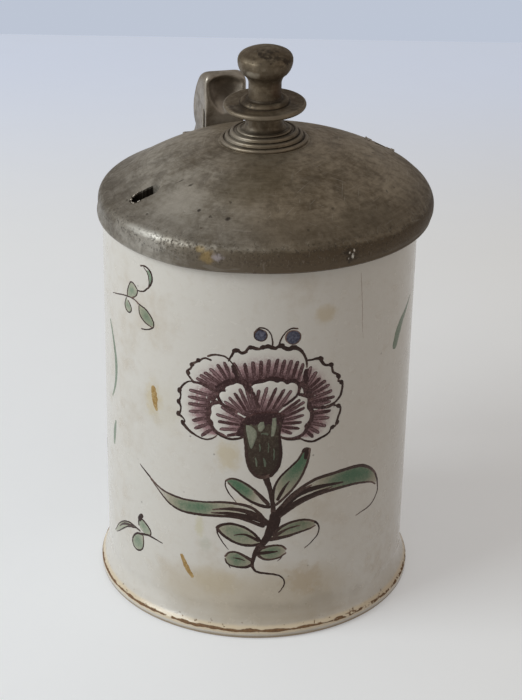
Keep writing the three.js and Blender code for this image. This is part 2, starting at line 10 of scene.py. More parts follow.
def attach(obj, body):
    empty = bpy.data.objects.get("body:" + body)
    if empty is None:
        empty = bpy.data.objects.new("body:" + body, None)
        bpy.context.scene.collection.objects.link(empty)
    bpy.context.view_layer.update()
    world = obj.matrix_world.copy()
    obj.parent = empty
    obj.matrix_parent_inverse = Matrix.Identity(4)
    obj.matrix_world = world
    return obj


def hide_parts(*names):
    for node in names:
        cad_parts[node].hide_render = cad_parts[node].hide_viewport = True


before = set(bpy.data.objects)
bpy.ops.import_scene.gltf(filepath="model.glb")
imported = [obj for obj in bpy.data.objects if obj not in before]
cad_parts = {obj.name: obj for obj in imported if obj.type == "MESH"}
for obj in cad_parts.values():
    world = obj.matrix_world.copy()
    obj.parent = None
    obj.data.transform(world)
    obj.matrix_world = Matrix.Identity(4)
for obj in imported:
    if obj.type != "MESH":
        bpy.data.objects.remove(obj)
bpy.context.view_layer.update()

# Pewter-lidded faience jug. Pieces are drawn in millimetres and placed in metres, +Z up, handle towards +Y.
MM = 0.001

# Jug, as the potter measures it
BODY_RADIUS = 50
BODY_HEIGHT = 135
BODY_WALL = 5
BODY_FLOOR = 7
FLOOR_FILLET = 8
FOOT_FLARE = 2.6
FOOT_EDGE_HEIGHT = 3.3
FOOT_SWEEP_HEIGHT = 8.2

# Handle
HANDLE_WIDTH = 20
HANDLE_THICKNESS = 11.5
HANDLE_TIP_WIDTH = 14.5
HANDLE_TIP_THICKNESS = 8.5
HANDLE_REACH = 37
HANDLE_TOP_DROP = 22.5
HANDLE_TIP_HEIGHT = 37
HANDLE_ROOT_DEPTH = 3
LUTING_THICKNESS = 1.35
LUTING_SHARE = 0.12

# Lid and knop, as the pewterer measures them
LID_SHIFT = 1.5
LID_RADIUS = 54.1
SKIRT_Z = 130.1
SKIRT_WALL = 1.8
SEAT_Z = 135.3
SEAT_INNER_RADIUS = 45.7
SHOULDER_Z = 138.5
SHOULDER_RADIUS = 51.5
CROWN_Z = 153.3
CROWN_RADIUS = 14.3
LID_SHEET = 2
LID_SLOT_LENGTH = 9
LID_SLOT_WIDTH = 4.6
LID_SLOT_RADIUS = 43
LID_SLOT_BEARING = 194
LID_SLOT_TURN = 164.5
KNOP_RING_RADII = (14, 12.4, 10.8)
KNOP_PLATE_RADIUS = 13.25
KNOP_HEAD_RADIUS = 8.7
SPIGOT_RADIUS = 3

# Hinge
HINGE_Y = 63.0
HINGE_Z = 131.5
PIN_RADIUS = 1.5
PIN_HEAD_RADIUS = 2.3
PIN_HALF_LENGTH = 10.15

# The strap from the thumbpiece over the rim
STRAP_FRONT_Y = 50.3
STRAP_HEEL_Y = 60.3
STRAP_LOW_Z = 138.9
STRAP_MIDDLE_Z = 143.2
STRAP_TOP_Z = 144.4
THUMBPIECE_HALF = 7

# What firing, age and knocks have bent
WALL_BULGE_AT_FOOT = 0.8
WALL_BULGE_AT_RIM = 1.3
LID_RISE_ACROSS = 0.026
KNOP_RISE_BACK = 0.055
LID_PUSH = 0.9
LID_PUSH_FALL = 0.006
SKIRT_DROOP = 0.8
SLOT_SAG = 0.5
THUMBPIECE_SPREAD = 1.5

# The front of the jug, as painted, faces this bearing; the photographer stood there too
FRONT_BEARING = math.radians(-105.5)
VIEW_TURN = math.radians(-15.5)
VIEW_COS, VIEW_SIN = math.cos(VIEW_TURN), math.sin(VIEW_TURN)

GLAZE_COLOUR = (0.65, 0.612, 0.555)
CREASE = math.radians(40)


# Drawing profiles

def arc(profile, radius, height, bow, pace):
    """Adds an arc to a profile of (radius, height) points; a positive bow stands out to the right of travel."""
    r0, z0 = profile[-1]
    dr, dz = radius - r0, height - z0
    chord = math.hypot(dr, dz)
    half = 2 * math.atan(2 * bow / chord)
    bend = chord / (2 * math.sin(half))
    steps = max(3, math.ceil(chord / pace))
    for i in range(1, steps + 1):
        turned = half * (2 * i / steps - 1)
        along = 0.5 + bend * math.sin(turned) / chord
        out = bend * (math.cos(turned) - math.cos(half))
        profile.append((r0 + dr * along + dz / chord * out, z0 + dz * along - dr / chord * out))


def line(profile, radius, height, pace):
    """Adds a straight stretch, divided into short steps so that the surface can be made uneven."""
    r0, z0 = profile[-1]
    steps = max(1, math.ceil(math.hypot(radius - r0, height - z0) / pace))
    for i in range(1, steps + 1):
        profile.append((r0 + (radius - r0) * i / steps, z0 + (height - z0) * i / steps))


def draw_profile(start, *stretches):
    """A profile from a start on; each stretch is (radius, height), then its bow and its pace where it has them."""
    profile = [start]
    for radius, height, bow, pace in ((*stretch, 0, 0)[:4] for stretch in stretches):
        if bow:
            arc(profile, radius, height, bow, pace or 0.5)
        else:
            line(profile, radius, height, pace or 2.0)
    return profile


def jug_profile():
    foot = BODY_RADIUS + FOOT_FLARE
    lip = BODY_WALL / 2
    inside = BODY_RADIUS - BODY_WALL
    return draw_profile(
        (0, 0.5), (foot - 6, 0.5), (foot - 4.5, 0, -0.15), (foot - 1.2, 0), (foot, 1.2, 0.35, 0.25),
        (foot, FOOT_EDGE_HEIGHT - 0.5, 0, 0.6), (foot - 0.45, FOOT_EDGE_HEIGHT + 0.2, 0.12, 0.15),
        (BODY_RADIUS, FOOT_EDGE_HEIGHT + FOOT_SWEEP_HEIGHT, -0.9), (BODY_RADIUS, BODY_HEIGHT - lip, 0, 1.5),
        (inside, BODY_HEIGHT - lip, lip, 0.4), (inside, BODY_FLOOR + FLOOR_FILLET, 0, 3),
        (inside - FLOOR_FILLET, BODY_FLOOR, -FLOOR_FILLET * (1 - math.sqrt(0.5))), (0, BODY_FLOOR, 0, 3))


def lid_profile():
    inner = LID_RADIUS - SKIRT_WALL
    hole = SPIGOT_RADIUS + 0.3
    start = (LID_RADIUS - 0.7, SKIRT_Z)
    return draw_profile(
        start, (LID_RADIUS - 0.35, SKIRT_Z + 0.8, 0.12, 0.2), (LID_RADIUS, SKIRT_Z + 3.6, 0.1),
        (SHOULDER_RADIUS, SHOULDER_Z, 0.75, 0.4), (CROWN_RADIUS + 0.8, CROWN_Z, 2.3, 0.9),
        (CROWN_RADIUS, CROWN_Z, -0.1, 0.2), (hole, CROWN_Z), (hole, CROWN_Z - LID_SHEET),
        (CROWN_RADIUS, CROWN_Z - LID_SHEET), (SEAT_INNER_RADIUS - 1.2, SEAT_Z + 4.4, -1.4, 1.2),
        (SEAT_INNER_RADIUS, SEAT_Z + 0.3, -0.3), (SEAT_INNER_RADIUS + 0.4, SEAT_Z), (inner - 1, SEAT_Z, 0, 1),
        (inner, SEAT_Z - 1, 0.3, 0.3), (inner, SKIRT_Z + 0.35, 0, 1), (inner + 0.5, SKIRT_Z), start)


def knop_profile():
    """The rivet and spigot, three rings, the neck, the plate and the head."""
    base = CROWN_Z + 0.02
    rivet = CROWN_Z - LID_SHEET - 0.3
    rings, z = [], base
    for radius in KNOP_RING_RADII:
        rings += [(radius, z + 0.45, 0.1, 0.1), (radius - 0.95, z + 1.15, 0.3, 0.1)]
        z += 1.2
        rings.append((radius - 1.6, z - 0.2, -0.16, 0.1))
    neck_top = z + 7.2
    plate_top = neck_top + 1.7
    widest = plate_top + 13.7
    return draw_profile(
        (0, rivet - 1.4), (SPIGOT_RADIUS + 1.6, rivet, 0.5, 0.4), (SPIGOT_RADIUS, rivet), (SPIGOT_RADIUS, base),
        (KNOP_RING_RADII[0] - 0.3, base, 0, 1), *rings, (8.6, z - 0.2, 0, 0.3), (8.1, z + 0.45, 0.22, 0.1),
        (7.4, z + 0.5, 0.1, 0.1), (6, z + 2.1, -0.4, 0.2), (6, neck_top - 2, 0, 0.6), (8.4, neck_top, -0.4, 0.3),
        (KNOP_PLATE_RADIUS - 0.75, neck_top, 0, 0.8), (KNOP_PLATE_RADIUS - 0.75, plate_top, 0.62, 0.15),
        (7.8, plate_top, -0.12, 0.4), (6.4, plate_top + 1.3, 0.4, 0.2), (5.2, plate_top + 1.9, -0.3, 0.2),
        (5.2, widest - 7.6, 0, 0.5), (KNOP_HEAD_RADIUS - 1.5, widest - 4.1, -0.5, 0.3),
        (KNOP_HEAD_RADIUS, widest, 0.42, 0.3), (7.3, widest + 2.3, 0.377, 0.3), (0, widest + 3.9, 0.49, 0.4))


def pin_profile():
    half = PIN_HALF_LENGTH
    return draw_profile(
        (0, -half - 0.9), (PIN_HEAD_RADIUS, -half - 0.1, 0.45, 0.2), (PIN_HEAD_RADIUS, -half), (PIN_RADIUS, -half),
        (PIN_RADIUS, half), (PIN_HEAD_RADIUS, half), (PIN_HEAD_RADIUS, half + 0.1), (0, half + 0.9, 0.45, 0.2))


def walked(path):
    """How far one has walked along a path at each of its points."""
    return np.concatenate([[0], np.cumsum(np.linalg.norm(np.diff(path, axis=0), axis=1))])


def points_at(path, way, places):
    """The points of a flat path at some places along the way."""
    return np.stack([np.interp(places, way, path[:, k]) for k in range(2)], axis=1)


def proudness(profile, reach=0.5):
    """How much a profile bulges at each of its points: 1 on a sharp ridge, -1 in a sharp groove."""
    drawn = np.array(profile)
    way = walked(drawn)
    before = drawn - points_at(drawn, way, way - reach)
    after = points_at(drawn, way, way + reach) - drawn
    bend = np.arctan2(before[:, 0] * after[:, 1] - before[:, 1] * after[:, 0], (before * after).sum(axis=1))
    return np.clip(bend / 1.1, -1, 1)


# Small helpers

class Tree:
    """Adds nodes and links to a node tree in few words."""

    def __init__(self, tree):
        self.tree = tree

    def node(self, kind, inputs=None, **settings):
        node = self.tree.nodes.new(kind)
        for key, value in settings.items():
            setattr(node, key, value)
        for key, value in (inputs or {}).items():
            self.feed(node.inputs[key], value)
        return node

    def feed(self, socket, value):
        """Links an output, or a node's first output, or sets a plain value; colours are red, green and blue."""
        if isinstance(value, bpy.types.Node):
            value = value.outputs[0]
        if isinstance(value, bpy.types.NodeSocket):
            self.tree.links.new(value, socket)
        else:
            socket.default_value = (*value, 1) if socket.type == "RGBA" else value

    def math(self, operation, a, b=0.5):
        return self.node("ShaderNodeMath", {0: a, 1: b}, operation=operation)

    def plus(self, *values):
        return functools.reduce(functools.partial(self.math, "ADD"), values)

    def minus(self, a, b):
        return self.math("SUBTRACT", a, b)

    def times(self, *values):
        return functools.reduce(functools.partial(self.math, "MULTIPLY"), values)

    def vector(self, operation, a, b=(0, 0, 0)):
        node = self.node("ShaderNodeVectorMath", {0: a, 1: b}, operation=operation)
        return node.outputs[1] if operation in ("LENGTH", "DOT_PRODUCT") else node

    def scaled(self, vector, scale):
        return self.node("ShaderNodeVectorMath", {0: vector, 3: scale}, operation="SCALE")

    def xyz(self, x=0.0, y=0.0, z=0.0):
        return self.node("ShaderNodeCombineXYZ", {0: x, 1: y, 2: z})

    def split(self, vector):
        return self.node("ShaderNodeSeparateXYZ", {0: vector}).outputs

    def ramp(self, value, low, high, start=0.0, end=1.0):
        """Smooth step from start to end while value goes from low to high."""
        return self.node("ShaderNodeMapRange", {0: value, 1: low, 2: high, 3: start, 4: end},
                         interpolation_type="SMOOTHSTEP")

    def noise_node(self, vector, scale, detail=3.0, roughness=0.5, distortion=0.0):
        return self.node("ShaderNodeTexNoise", {"Vector": vector, "Scale": scale, "Detail": detail,
                                                "Roughness": roughness, "Distortion": distortion})

    def noise(self, vector, scale, detail=3.0, roughness=0.55, distortion=0.0):
        return self.noise_node(vector, scale, detail, roughness, distortion).outputs[0]

    def slips(self, vector, scale):
        """Small random ways in all directions."""
        return self.vector("SUBTRACT", self.noise_node(vector, scale, 2.0).outputs["Color"], (0.5, 0.5, 0.5))

    def mix_colour(self, share, a, b):
        return self.node("ShaderNodeMix", {0: share, 6: a, 7: b}, data_type="RGBA").outputs[2]

    def object_place(self):
        """Where a surface lies on the object, in millimetres."""
        return self.scaled(self.node("ShaderNodeTexCoord").outputs["Object"], 1 / MM)

    def noted(self, name):
        """A value noted on a mesh's points, in a material."""
        return self.node("ShaderNodeAttribute", attribute_name=name).outputs["Fac"]

    def note(self, geometry, name, value):
        return self.node("GeometryNodeStoreNamedAttribute", {0: geometry, "Name": name, "Value": value},
                         data_type="FLOAT")

    def note_read(self, name):
        return self.node("GeometryNodeInputNamedAttribute", {0: name}, data_type="FLOAT")

    def hand_out(self, out, geometry, material):
        """Ends a geometry tree with real geometry and its material."""
        real = self.node("GeometryNodeRealizeInstances", {0: geometry})
        self.feed(out[0], self.node("GeometryNodeSetMaterial", {0: real, 2: material}))
        return self.tree


SOCKETS = {"geometry": "NodeSocketGeometry", "number": "NodeSocketFloat", "count": "NodeSocketInt",
           "vector": "NodeSocketVector", "colour": "NodeSocketColor", "material": "NodeSocketMaterial",
           "object": "NodeSocketObject"}


def new_group(name, inputs, outputs=None):
    """A node group; inputs are (name, kind, default). Without a list of outputs it makes geometry."""
    tree = bpy.data.node_groups.new(name, "ShaderNodeTree" if outputs else "GeometryNodeTree")
    for label, sort, *default in inputs:
        socket = tree.interface.new_socket(label, in_out="INPUT", socket_type=SOCKETS[sort])
        if default:
            socket.default_value = (*default[0], 1) if sort == "colour" else default[0]
    for label, sort in outputs or [("Geometry", "geometry")]:
        tree.interface.new_socket(label, in_out="OUTPUT", socket_type=SOCKETS[sort])
    builder = Tree(tree)
    return builder, builder.node("NodeGroupInput").outputs, builder.node("NodeGroupOutput").inputs


def use_group(tree, group, **values):
    """Places a group in a tree; underscores in a value's name stand for spaces."""
    kind = "GeometryNodeGroup" if group.bl_idname == "GeometryNodeTree" else "ShaderNodeGroup"
    node = tree.node(kind, node_tree=group)
    for key, value in values.items():
        tree.feed(node.inputs[key.replace("_", " ")], value)
    return node.outputs


def link(obj):
    bpy.context.scene.collection.objects.link(obj)
    return obj


def mesh_object(name, points, edges=(), faces=()):
    mesh = bpy.data.meshes.new(name)
    mesh.from_pydata([tuple(p) for p in points], list(edges), list(faces))
    return link(bpy.data.objects.new(name, mesh))


def curve_object(name, lines, radii=None):
    """A curve from lines of points in millimetres, each point with a radius where they are given."""
    curve = bpy.data.curves.new(name, "CURVE")
    curve.dimensions = "3D"
    for i, points in enumerate(lines):
        spline = curve.splines.new("POLY")
        spline.points.add(len(points) - 1)
        for j, (x, y, z) in enumerate(points):
            spline.points[j].co = (x * MM, y * MM, z * MM, 1)
            if radii:
                spline.points[j].radius = radii[i][j] * MM
    return link(bpy.data.objects.new(name, curve))


def row_faces(start, rows, count, closed=False):
    """Faces between rows of points, each row with as many points as the next."""
    return [(start + i * count + j, start + i * count + (j + 1) % count,
             start + (i + 1) * count + (j + 1) % count, start + (i + 1) * count + j)
            for i in range(rows - 1) for j in range(count if closed else count - 1)]


def note_values(mesh, name, values):
    mesh.attributes.new(name, "FLOAT", "POINT").data.foreach_set("value", values)


def spots_of(mesh):
    """A mesh's points as rows of x, y and z."""
    spots = np.empty(len(mesh.vertices) * 3)
    mesh.vertices.foreach_get("co", spots)
    return spots.reshape(-1, 3)


def move_spots(mesh, spots):
    mesh.vertices.foreach_set("co", spots.ravel())
    mesh.update()


def wear_tree(obj, tree, **values):
    """Puts a geometry tree on an object and sets its named inputs by their identifiers."""
    modifier = obj.modifiers.new(tree.name, "NODES")
    modifier.node_group = tree
    sockets = {s.name: s.identifier for s in tree.interface.items_tree if s.in_out == "INPUT"}
    for key, value in values.items():
        modifier[sockets[key.replace("_", " ")]] = value


def wear_smoothing(obj, rounds, group=""):
    smooth = obj.modifiers.new("smooth", "SMOOTH")
    smooth.iterations = rounds
    smooth.vertex_group = group


def wear_material(obj, material):
    obj.data.materials.clear()
    obj.data.materials.append(material)


def settle(obj, name, sharp=None):
    """Turns what an object's modifiers make into a plain mesh piece with its faces outwards."""
    bpy.context.view_layer.update()
    graph = bpy.context.evaluated_depsgraph_get()
    mesh = bpy.data.meshes.new_from_object(obj.evaluated_get(graph), preserve_all_data_layers=True, depsgraph=graph)
    bpy.data.objects.remove(obj)
    shape = bmesh.new()
    shape.from_mesh(mesh)
    bmesh.ops.remove_doubles(shape, verts=shape.verts, dist=1e-7)
    bmesh.ops.recalc_face_normals(shape, faces=shape.faces)
    shape.to_mesh(mesh)
    shape.free()
    mesh.shade_smooth()
    if sharp:
        mesh.set_sharp_from_angle(angle=sharp)
    mesh.name = name
    return link(bpy.data.objects.new(name, mesh))


def hand_over(piece, body, slot, *nodes):
    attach(piece, body)
    if nodes:
        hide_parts(*nodes)


# Turned forms

def build_turned_form():
    """A profile turned about an upright axis, with a slightly uneven surface."""
    t, given, out = new_group("turned_form", [
        ("Geometry", "geometry"), ("Turns", "count", 96), ("Axis Shift", "number", 0.0),
        ("Unevenness", "number", 0.0), ("Uneven Scale", "number", 30.0), ("Seed", "number", 0.0),
        ("Material", "material")])
    profile = given["Geometry"]
    columns = t.plus(given["Turns"], 1)
    rows = t.node("GeometryNodeAttributeDomainSize", {0: profile})
    grid = t.node("GeometryNodeMeshGrid", {0: 1.0, 1: 1.0, 2: rows, 3: columns})
    index = t.node("GeometryNodeInputIndex")
    row = t.math("FLOOR", t.math("DIVIDE", t.plus(index, 0.5), columns))
    column = t.minus(index, t.times(row, columns))
    drawn = t.node("GeometryNodeSampleIndex", {0: profile, 1: t.node("GeometryNodeInputPosition"), 2: row},
                   data_type="FLOAT_VECTOR")
    radius, _, height = t.split(drawn)
    angle = t.times(t.math("DIVIDE", column, given["Turns"]), math.tau)
    ray = t.xyz(t.math("COSINE", angle), t.math("SINE", angle))
    true_place = t.vector("ADD", t.scaled(ray, radius), t.xyz(z=height))
    waver = t.noise(t.vector("ADD", true_place, t.xyz(given["Seed"])), given["Uneven Scale"], 2.0)
    swell = t.times(t.minus(waver, 0.5), t.times(given["Unevenness"], 2), t.ramp(radius, 0.0, 4 * MM))
    moved = t.vector("ADD", t.vector("ADD", true_place, t.scaled(ray, swell)), t.xyz(given["Axis Shift"]))
    turned = t.node("GeometryNodeSetPosition", {0: grid, 2: moved})
    proud = t.node("GeometryNodeSampleIndex", {0: profile, 1: t.note_read("proud"), 2: row}, data_type="FLOAT")
    closed = t.node("GeometryNodeMergeByDistance", {0: t.note(turned, "proud", proud), 2: 1e-6})
    return t.hand_out(out, closed, given["Material"])


TURNED_FORM = build_turned_form()


def turn(name, profile, material, turns, axis_shift=0.0, unevenness=0.0, uneven_scale=30.0, seed=0.0):
    points = [(r * MM, 0, z * MM) for r, z in profile]
    drawn = mesh_object(name + "_profile", points, [(i, i + 1) for i in range(len(points) - 1)])
    note_values(drawn.data, "proud", proudness(profile))
    wear_tree(drawn, TURNED_FORM, Turns=turns, Axis_Shift=axis_shift * MM, Unevenness=unevenness * MM,
              Uneven_Scale=uneven_scale, Seed=seed, Material=material)
    return settle(drawn, name, CREASE)


# Lid

def dome_height(radius):
    """Height of the lid's outside at a radius, from the shoulder to the crown."""
    outside = []
    for r, z in lid_profile():
        if r <= CROWN_RADIUS:
            break
        if z > SHOULDER_Z - 0.01:
            outside.insert(0, (r, z))
    return float(np.interp(radius, *zip(*outside)))


SLOT_LIE = math.radians(LID_SLOT_TURN)
SLOT_HALF = (LID_SLOT_LENGTH - LID_SLOT_WIDTH) / 2


def slot_centre(turn_angle):
    bearing = math.radians(LID_SLOT_BEARING + turn_angle)
    return LID_SHIFT + LID_SLOT_RADIUS * math.cos(bearing), LID_SLOT_RADIUS * math.sin(bearing)


def slot_outline(turn_angle, grow=0.0, jitter=0.07, seed=5):
    """A round-ended slot with hacked edges, as (x, y) points and how far each lies along the slot."""
    chance = np.random.default_rng(seed)
    end = LID_SLOT_WIDTH / 2 + grow
    ring = []
    for side in (1, -1):
        quarter = side * math.pi / 2
        ring += [(side * (SLOT_HALF + end * math.cos(a)), end * math.sin(a))
                 for a in np.linspace(-quarter, quarter, 14)]
        ring += [(x, side * end) for x in np.linspace(side * SLOT_HALF, -side * SLOT_HALF, 12)[1:-1]]
    cx, cy = slot_centre(turn_angle)
    placed = []
    for x, y in ring:
        dx, dy = chance.normal(0, jitter, 2)
        px, py = x + dx, y + dy
        placed.append((cx + px * math.cos(SLOT_LIE) - py * math.sin(SLOT_LIE),
                       cy + px * math.sin(SLOT_LIE) + py * math.cos(SLOT_LIE)))
    return placed, [x for x, y in ring]


def slot_distance(spots, turn_angle):
    """How far points lie from a slot's middle line, in millimetres."""
    cx, cy = slot_centre(turn_angle)
    dx, dy = spots[:, 0] / MM - cx, spots[:, 1] / MM - cy
    along = np.clip(dx * math.cos(SLOT_LIE) + dy * math.sin(SLOT_LIE), -SLOT_HALF, SLOT_HALF)
    return np.hypot(dx - along * math.cos(SLOT_LIE), dy - along * math.sin(SLOT_LIE))


def cut_slots(lid_piece, pewter):
    """Punches the two slots through the dome, the sheet drawn down a little round them."""
    spots = spots_of(lid_piece.data)
    points, faces = [], []
    for turn_angle, seed in ((0, 5), (180, 6)):
        sag = SLOT_SAG * np.exp(-(slot_distance(spots, turn_angle) / 2.4) ** 2)
        spots[:, 2] -= np.where(spots[:, 2] > SHOULDER_Z * MM, sag, 0) * MM
        ring, _ = slot_outline(turn_angle, seed=seed)
        start, count = len(points), len(ring)
        points += [(x * MM, y * MM, z * MM) for z in (SEAT_Z + 1.2, CROWN_Z) for x, y in ring]
        faces += row_faces(start, 2, count, closed=True)
        faces += [tuple(start + i for i in reversed(range(count))), tuple(start + count + i for i in range(count))]
    move_spots(lid_piece.data, spots)
    punch = mesh_object("slot_punch", points, faces=faces)
    cut = lid_piece.modifiers.new("slots", "BOOLEAN")
    cut.operation = "DIFFERENCE"
    cut.solver = "EXACT"
    cut.object = punch
    done = settle(lid_piece, "domed_lid", CREASE)
    bpy.data.objects.remove(punch)
    wear_material(done, pewter)
    darken_slots(done.data)
    return done


def darken_slots(mesh, lip=-0.3, wall=-6):
    """Notes the slots' cut edges as deep places: a little dirt on the lip, and near-black painted shade on the cut
    wall.
    """
    spots = spots_of(mesh)
    proud = np.empty(len(mesh.vertices))
    mesh.attributes["proud"].data.foreach_get("value", proud)
    lip_height = dome_height(LID_SLOT_RADIUS) - 1.7
    for turn_angle in (0, 180):
        cut = slot_distance(spots, turn_angle) < LID_SLOT_WIDTH / 2 + 0.3
        proud[cut] = np.where(spots[cut, 2] / MM > lip_height, lip, wall)
    mesh.attributes["proud"].data.foreach_set("value", proud)


def share_of(value, start, end):
    """How far a value has come from start to end, from 0 to 1."""
    return np.clip((value - start) / (end - start), 0, 1)


def bulge(piece, bearing, at_foot, at_rim):
    """Pushes a thrown wall out of round towards one bearing, by millimetres at its foot and at its rim."""
    spots = spots_of(piece.data)
    radius = np.hypot(spots[:, 0], spots[:, 1])
    facing = np.cos(np.arctan2(spots[:, 1], spots[:, 0]) - bearing)
    share = np.clip(facing, 0, 1) ** 1.6 * share_of(radius, 0, 40 * MM)
    push = share * (at_foot + (at_rim - at_foot) * spots[:, 2] / (BODY_HEIGHT * MM)) * MM
    spots[:, :2] *= (1 + push / np.maximum(radius, 1e-6))[:, None]
    move_spots(piece.data, spots)


def build_torn_edge():
    """A ragged bead of metal along a drawn line, such as a burr that a punch leaves."""
    t, given, out = new_group("torn_edge", [
        ("Geometry", "geometry"), ("Thickness", "number", 0.3 * MM), ("Unevenness", "number", 0.2 * MM),
        ("Seed", "number", 0.0), ("Material", "material")])
    path = t.node("GeometryNodeResampleCurve", {0: given["Geometry"], "Length": 0.16 * MM}, mode="LENGTH")
    place = t.vector("ADD", t.node("GeometryNodeInputPosition"), t.xyz(given["Seed"]))
    size = t.times(t.ramp(t.noise(place, 1100.0, 2.0), 0.3, 0.7, 0.25, 1.25), given["Thickness"])
    ring = t.node("GeometryNodeCurvePrimitiveCircle", {"Resolution": 8, "Radius": 1.0})
    bead = t.node("GeometryNodeCurveToMesh", {0: path, 1: ring, 2: size, "Fill Caps": True})
    slip = t.scaled(t.scaled(t.slips(place, 1500.0), given["Unevenness"]), 2.0)
    torn = t.node("GeometryNodeSetPosition", {0: bead, 3: slip})
    return t.hand_out(out, torn, given["Material"])


def burr_lines():
    """Lines along the ends of both slots, where the punch tore the metal up."""
    lines = []
    for turn_angle, outer_end, seed in ((0, 1, 5), (180, -1, 6), (180, 1, 6)):
        ring, along = slot_outline(turn_angle, 0.16, 0.1, seed)
        torn = [p for p, x in zip(ring, along) if x * outer_end > 1.5]
        if outer_end > 0:
            half = sum(1 for x in along[:20] if x > 1.5)
            torn = torn[half:] + torn[:half]
        for rise in ((0.15, 0.6) if turn_angle else (0,)):
            lines.append([(x, y, dome_height(math.hypot(x - LID_SHIFT, y)) - 0.32 + rise * swell)
                          for (x, y), swell in zip(torn, np.sin(np.linspace(0, math.pi, len(torn))))])
    return lines


def from_front(spots):
    """How far points lie to the right of the lid's axis and behind it, as the photographer sees them."""
    x, y = spots[:, 0] - LID_SHIFT * MM, spots[:, 1]
    return x * VIEW_COS + y * VIEW_SIN, y * VIEW_COS - x * VIEW_SIN


def lean(piece, sideways, back, low, high):
    """Leans what is above a height, as an old lid leans: so much rise per millimetre across and back."""
    spots = spots_of(piece.data)
    across, depth = from_front(spots)
    share = share_of(spots[:, 2] / MM, low, high)
    spots[:, 2] += share * share * (3 - 2 * share) * (across * sideways + depth * back)
    move_spots(piece.data, spots)


def dent_lid(piece):
    """An old lid's lean and dents: the shoulder pushed to one side, and the skirt hanging lower at the left."""
    lean(piece, LID_RISE_ACROSS, 0, SEAT_Z + 0.7, SHOULDER_Z + 3)
    spots = spots_of(piece.data)
    z = spots[:, 2] / MM
    radius = np.hypot(spots[:, 0] - LID_SHIFT * MM, spots[:, 1]) / MM
    across, depth = (way / MM for way in from_front(spots))
    above = share_of(z, SEAT_Z - 1.3, SEAT_Z - 0.3)
    low = np.maximum(share_of(z, SKIRT_Z, SKIRT_Z + 2.5), 0.5)
    outside = np.where(radius > LID_RADIUS - SKIRT_WALL + 0.8, low, 0)
    share = np.maximum(above, outside) * share_of(radius, 15, 43)
    push = share * (LID_PUSH - LID_PUSH_FALL * across) * MM
    spots[:, 0] += push * VIEW_COS
    spots[:, 1] += push * VIEW_SIN
    at_left_front = share_of(across, -4, -26) * share_of(depth, 20, 0)
    spots[:, 2] -= SKIRT_DROOP * MM * share_of(z, SEAT_Z, SEAT_Z - 3) * at_left_front
    move_spots(piece.data, spots)


# Painting

# What the painter drew: (along the wall from the front, height) in millimetres.
# A brush line is its widths at start, middle and end, then its points.
OUTER_PETALS = [
    # top petal: scalloped edge, base, and the tips of its feathered strokes
    ([(-8.2, 99.6), (-7.4, 101.6), (-6, 102.9), (-4.4, 102.2), (-3, 103.3), (-1.8, 104.4), (0, 104.1), (2, 104.4),
      (4, 104.8), (6, 104.2), (8, 104.3), (10, 103.6), (12, 103.9), (14, 102.5), (15.3, 100.2), (15.8, 97)],
     [(-6.2, 93.4), (-3, 93.4), (0, 93.4), (4, 93.9), (8, 93.7), (11, 93), (14.8, 91.6)],
     [(-6.6, 98.6), (-3.4, 98.7), (-.9, 99.4), (1.6, 99.7), (4, 100.1), (6.6, 100.2), (8.8, 99.8), (10.9, 99.6),
      (12.9, 99), (14.6, 98)]),
    # upper left petal
    ([(-20, 90.6), (-21.6, 92.6), (-21.8, 94), (-20.4, 95.8), (-19.8, 97), (-17.8, 98), (-16.6, 99.2), (-15, 99.9),
      (-13, 101), (-11, 101.1), (-9, 100.5), (-8, 99.4)],
     [(-13.5, 88.8), (-12.5, 89.8), (-11.4, 90.7), (-10, 91.5), (-8.4, 92.6), (-6.4, 93.8)],
     [(-18.4, 91.9), (-17.2, 93.2), (-15.8, 94.4), (-14, 95.9), (-11.7, 97.6), (-9.6, 98.6)]),
    # left petal
    ([(-19, 90.6), (-22, 90), (-24, 87.8), (-24.7, 86), (-24.1, 84.2), (-25.1, 82.4), (-24, 80.2), (-25, 78),
      (-22.6, 76.8), (-23.4, 75.2), (-21.4, 73.4), (-18.4, 71.7), (-15.6, 71.2), (-12.4, 72.8)],
     [(-12.8, 88.6), (-13.6, 86.6), (-14.6, 84.4), (-15.2, 82), (-15.2, 79.8), (-14.4, 77.8), (-13.2, 75.4),
      (-12, 73.8)],
     [(-20.8, 87.4), (-21.2, 85), (-21.1, 82.6), (-20.8, 80), (-19.8, 77), (-19, 74.4), (-16.8, 72.4)]),
    # upper right petal
    ([(16, 99), (18, 99.4), (20.3, 99.2), (21, 97.4), (23, 96.4), (24.3, 96), (24.8, 94), (26.6, 92.4), (27, 90.8),
      (28.2, 89.2), (28, 86.4), (26.6, 83.6), (24.8, 82.3), (22.8, 81.9)],
     [(14.9, 92.2), (15.8, 91), (16.2, 89.4), (16.8, 87.2), (17.4, 85.4), (18, 83.8), (18.8, 82.6)],
     [(17, 96.6), (18.9, 94.7), (20.2, 92.4), (22, 91.2), (23.3, 89.5), (24.3, 87.3), (25.3, 85), (23.9, 83.6)]),
    # right petal
    ([(25.2, 82), (27.4, 81.2), (27.9, 79.8), (27, 77), (26.5, 74.8), (24.6, 73.8), (23.6, 72.2), (21.4, 71.4),
      (18.6, 70.7), (15.8, 71.5), (14.4, 72.2)],
     [(18.6, 81.8), (18, 80), (17.8, 78.2), (17.4, 76.4), (16.4, 75), (15.4, 73.4)],
     [(24, 80.4), (23.6, 78), (22.6, 75.4), (20.4, 73.4), (18.4, 72.4)]),
]

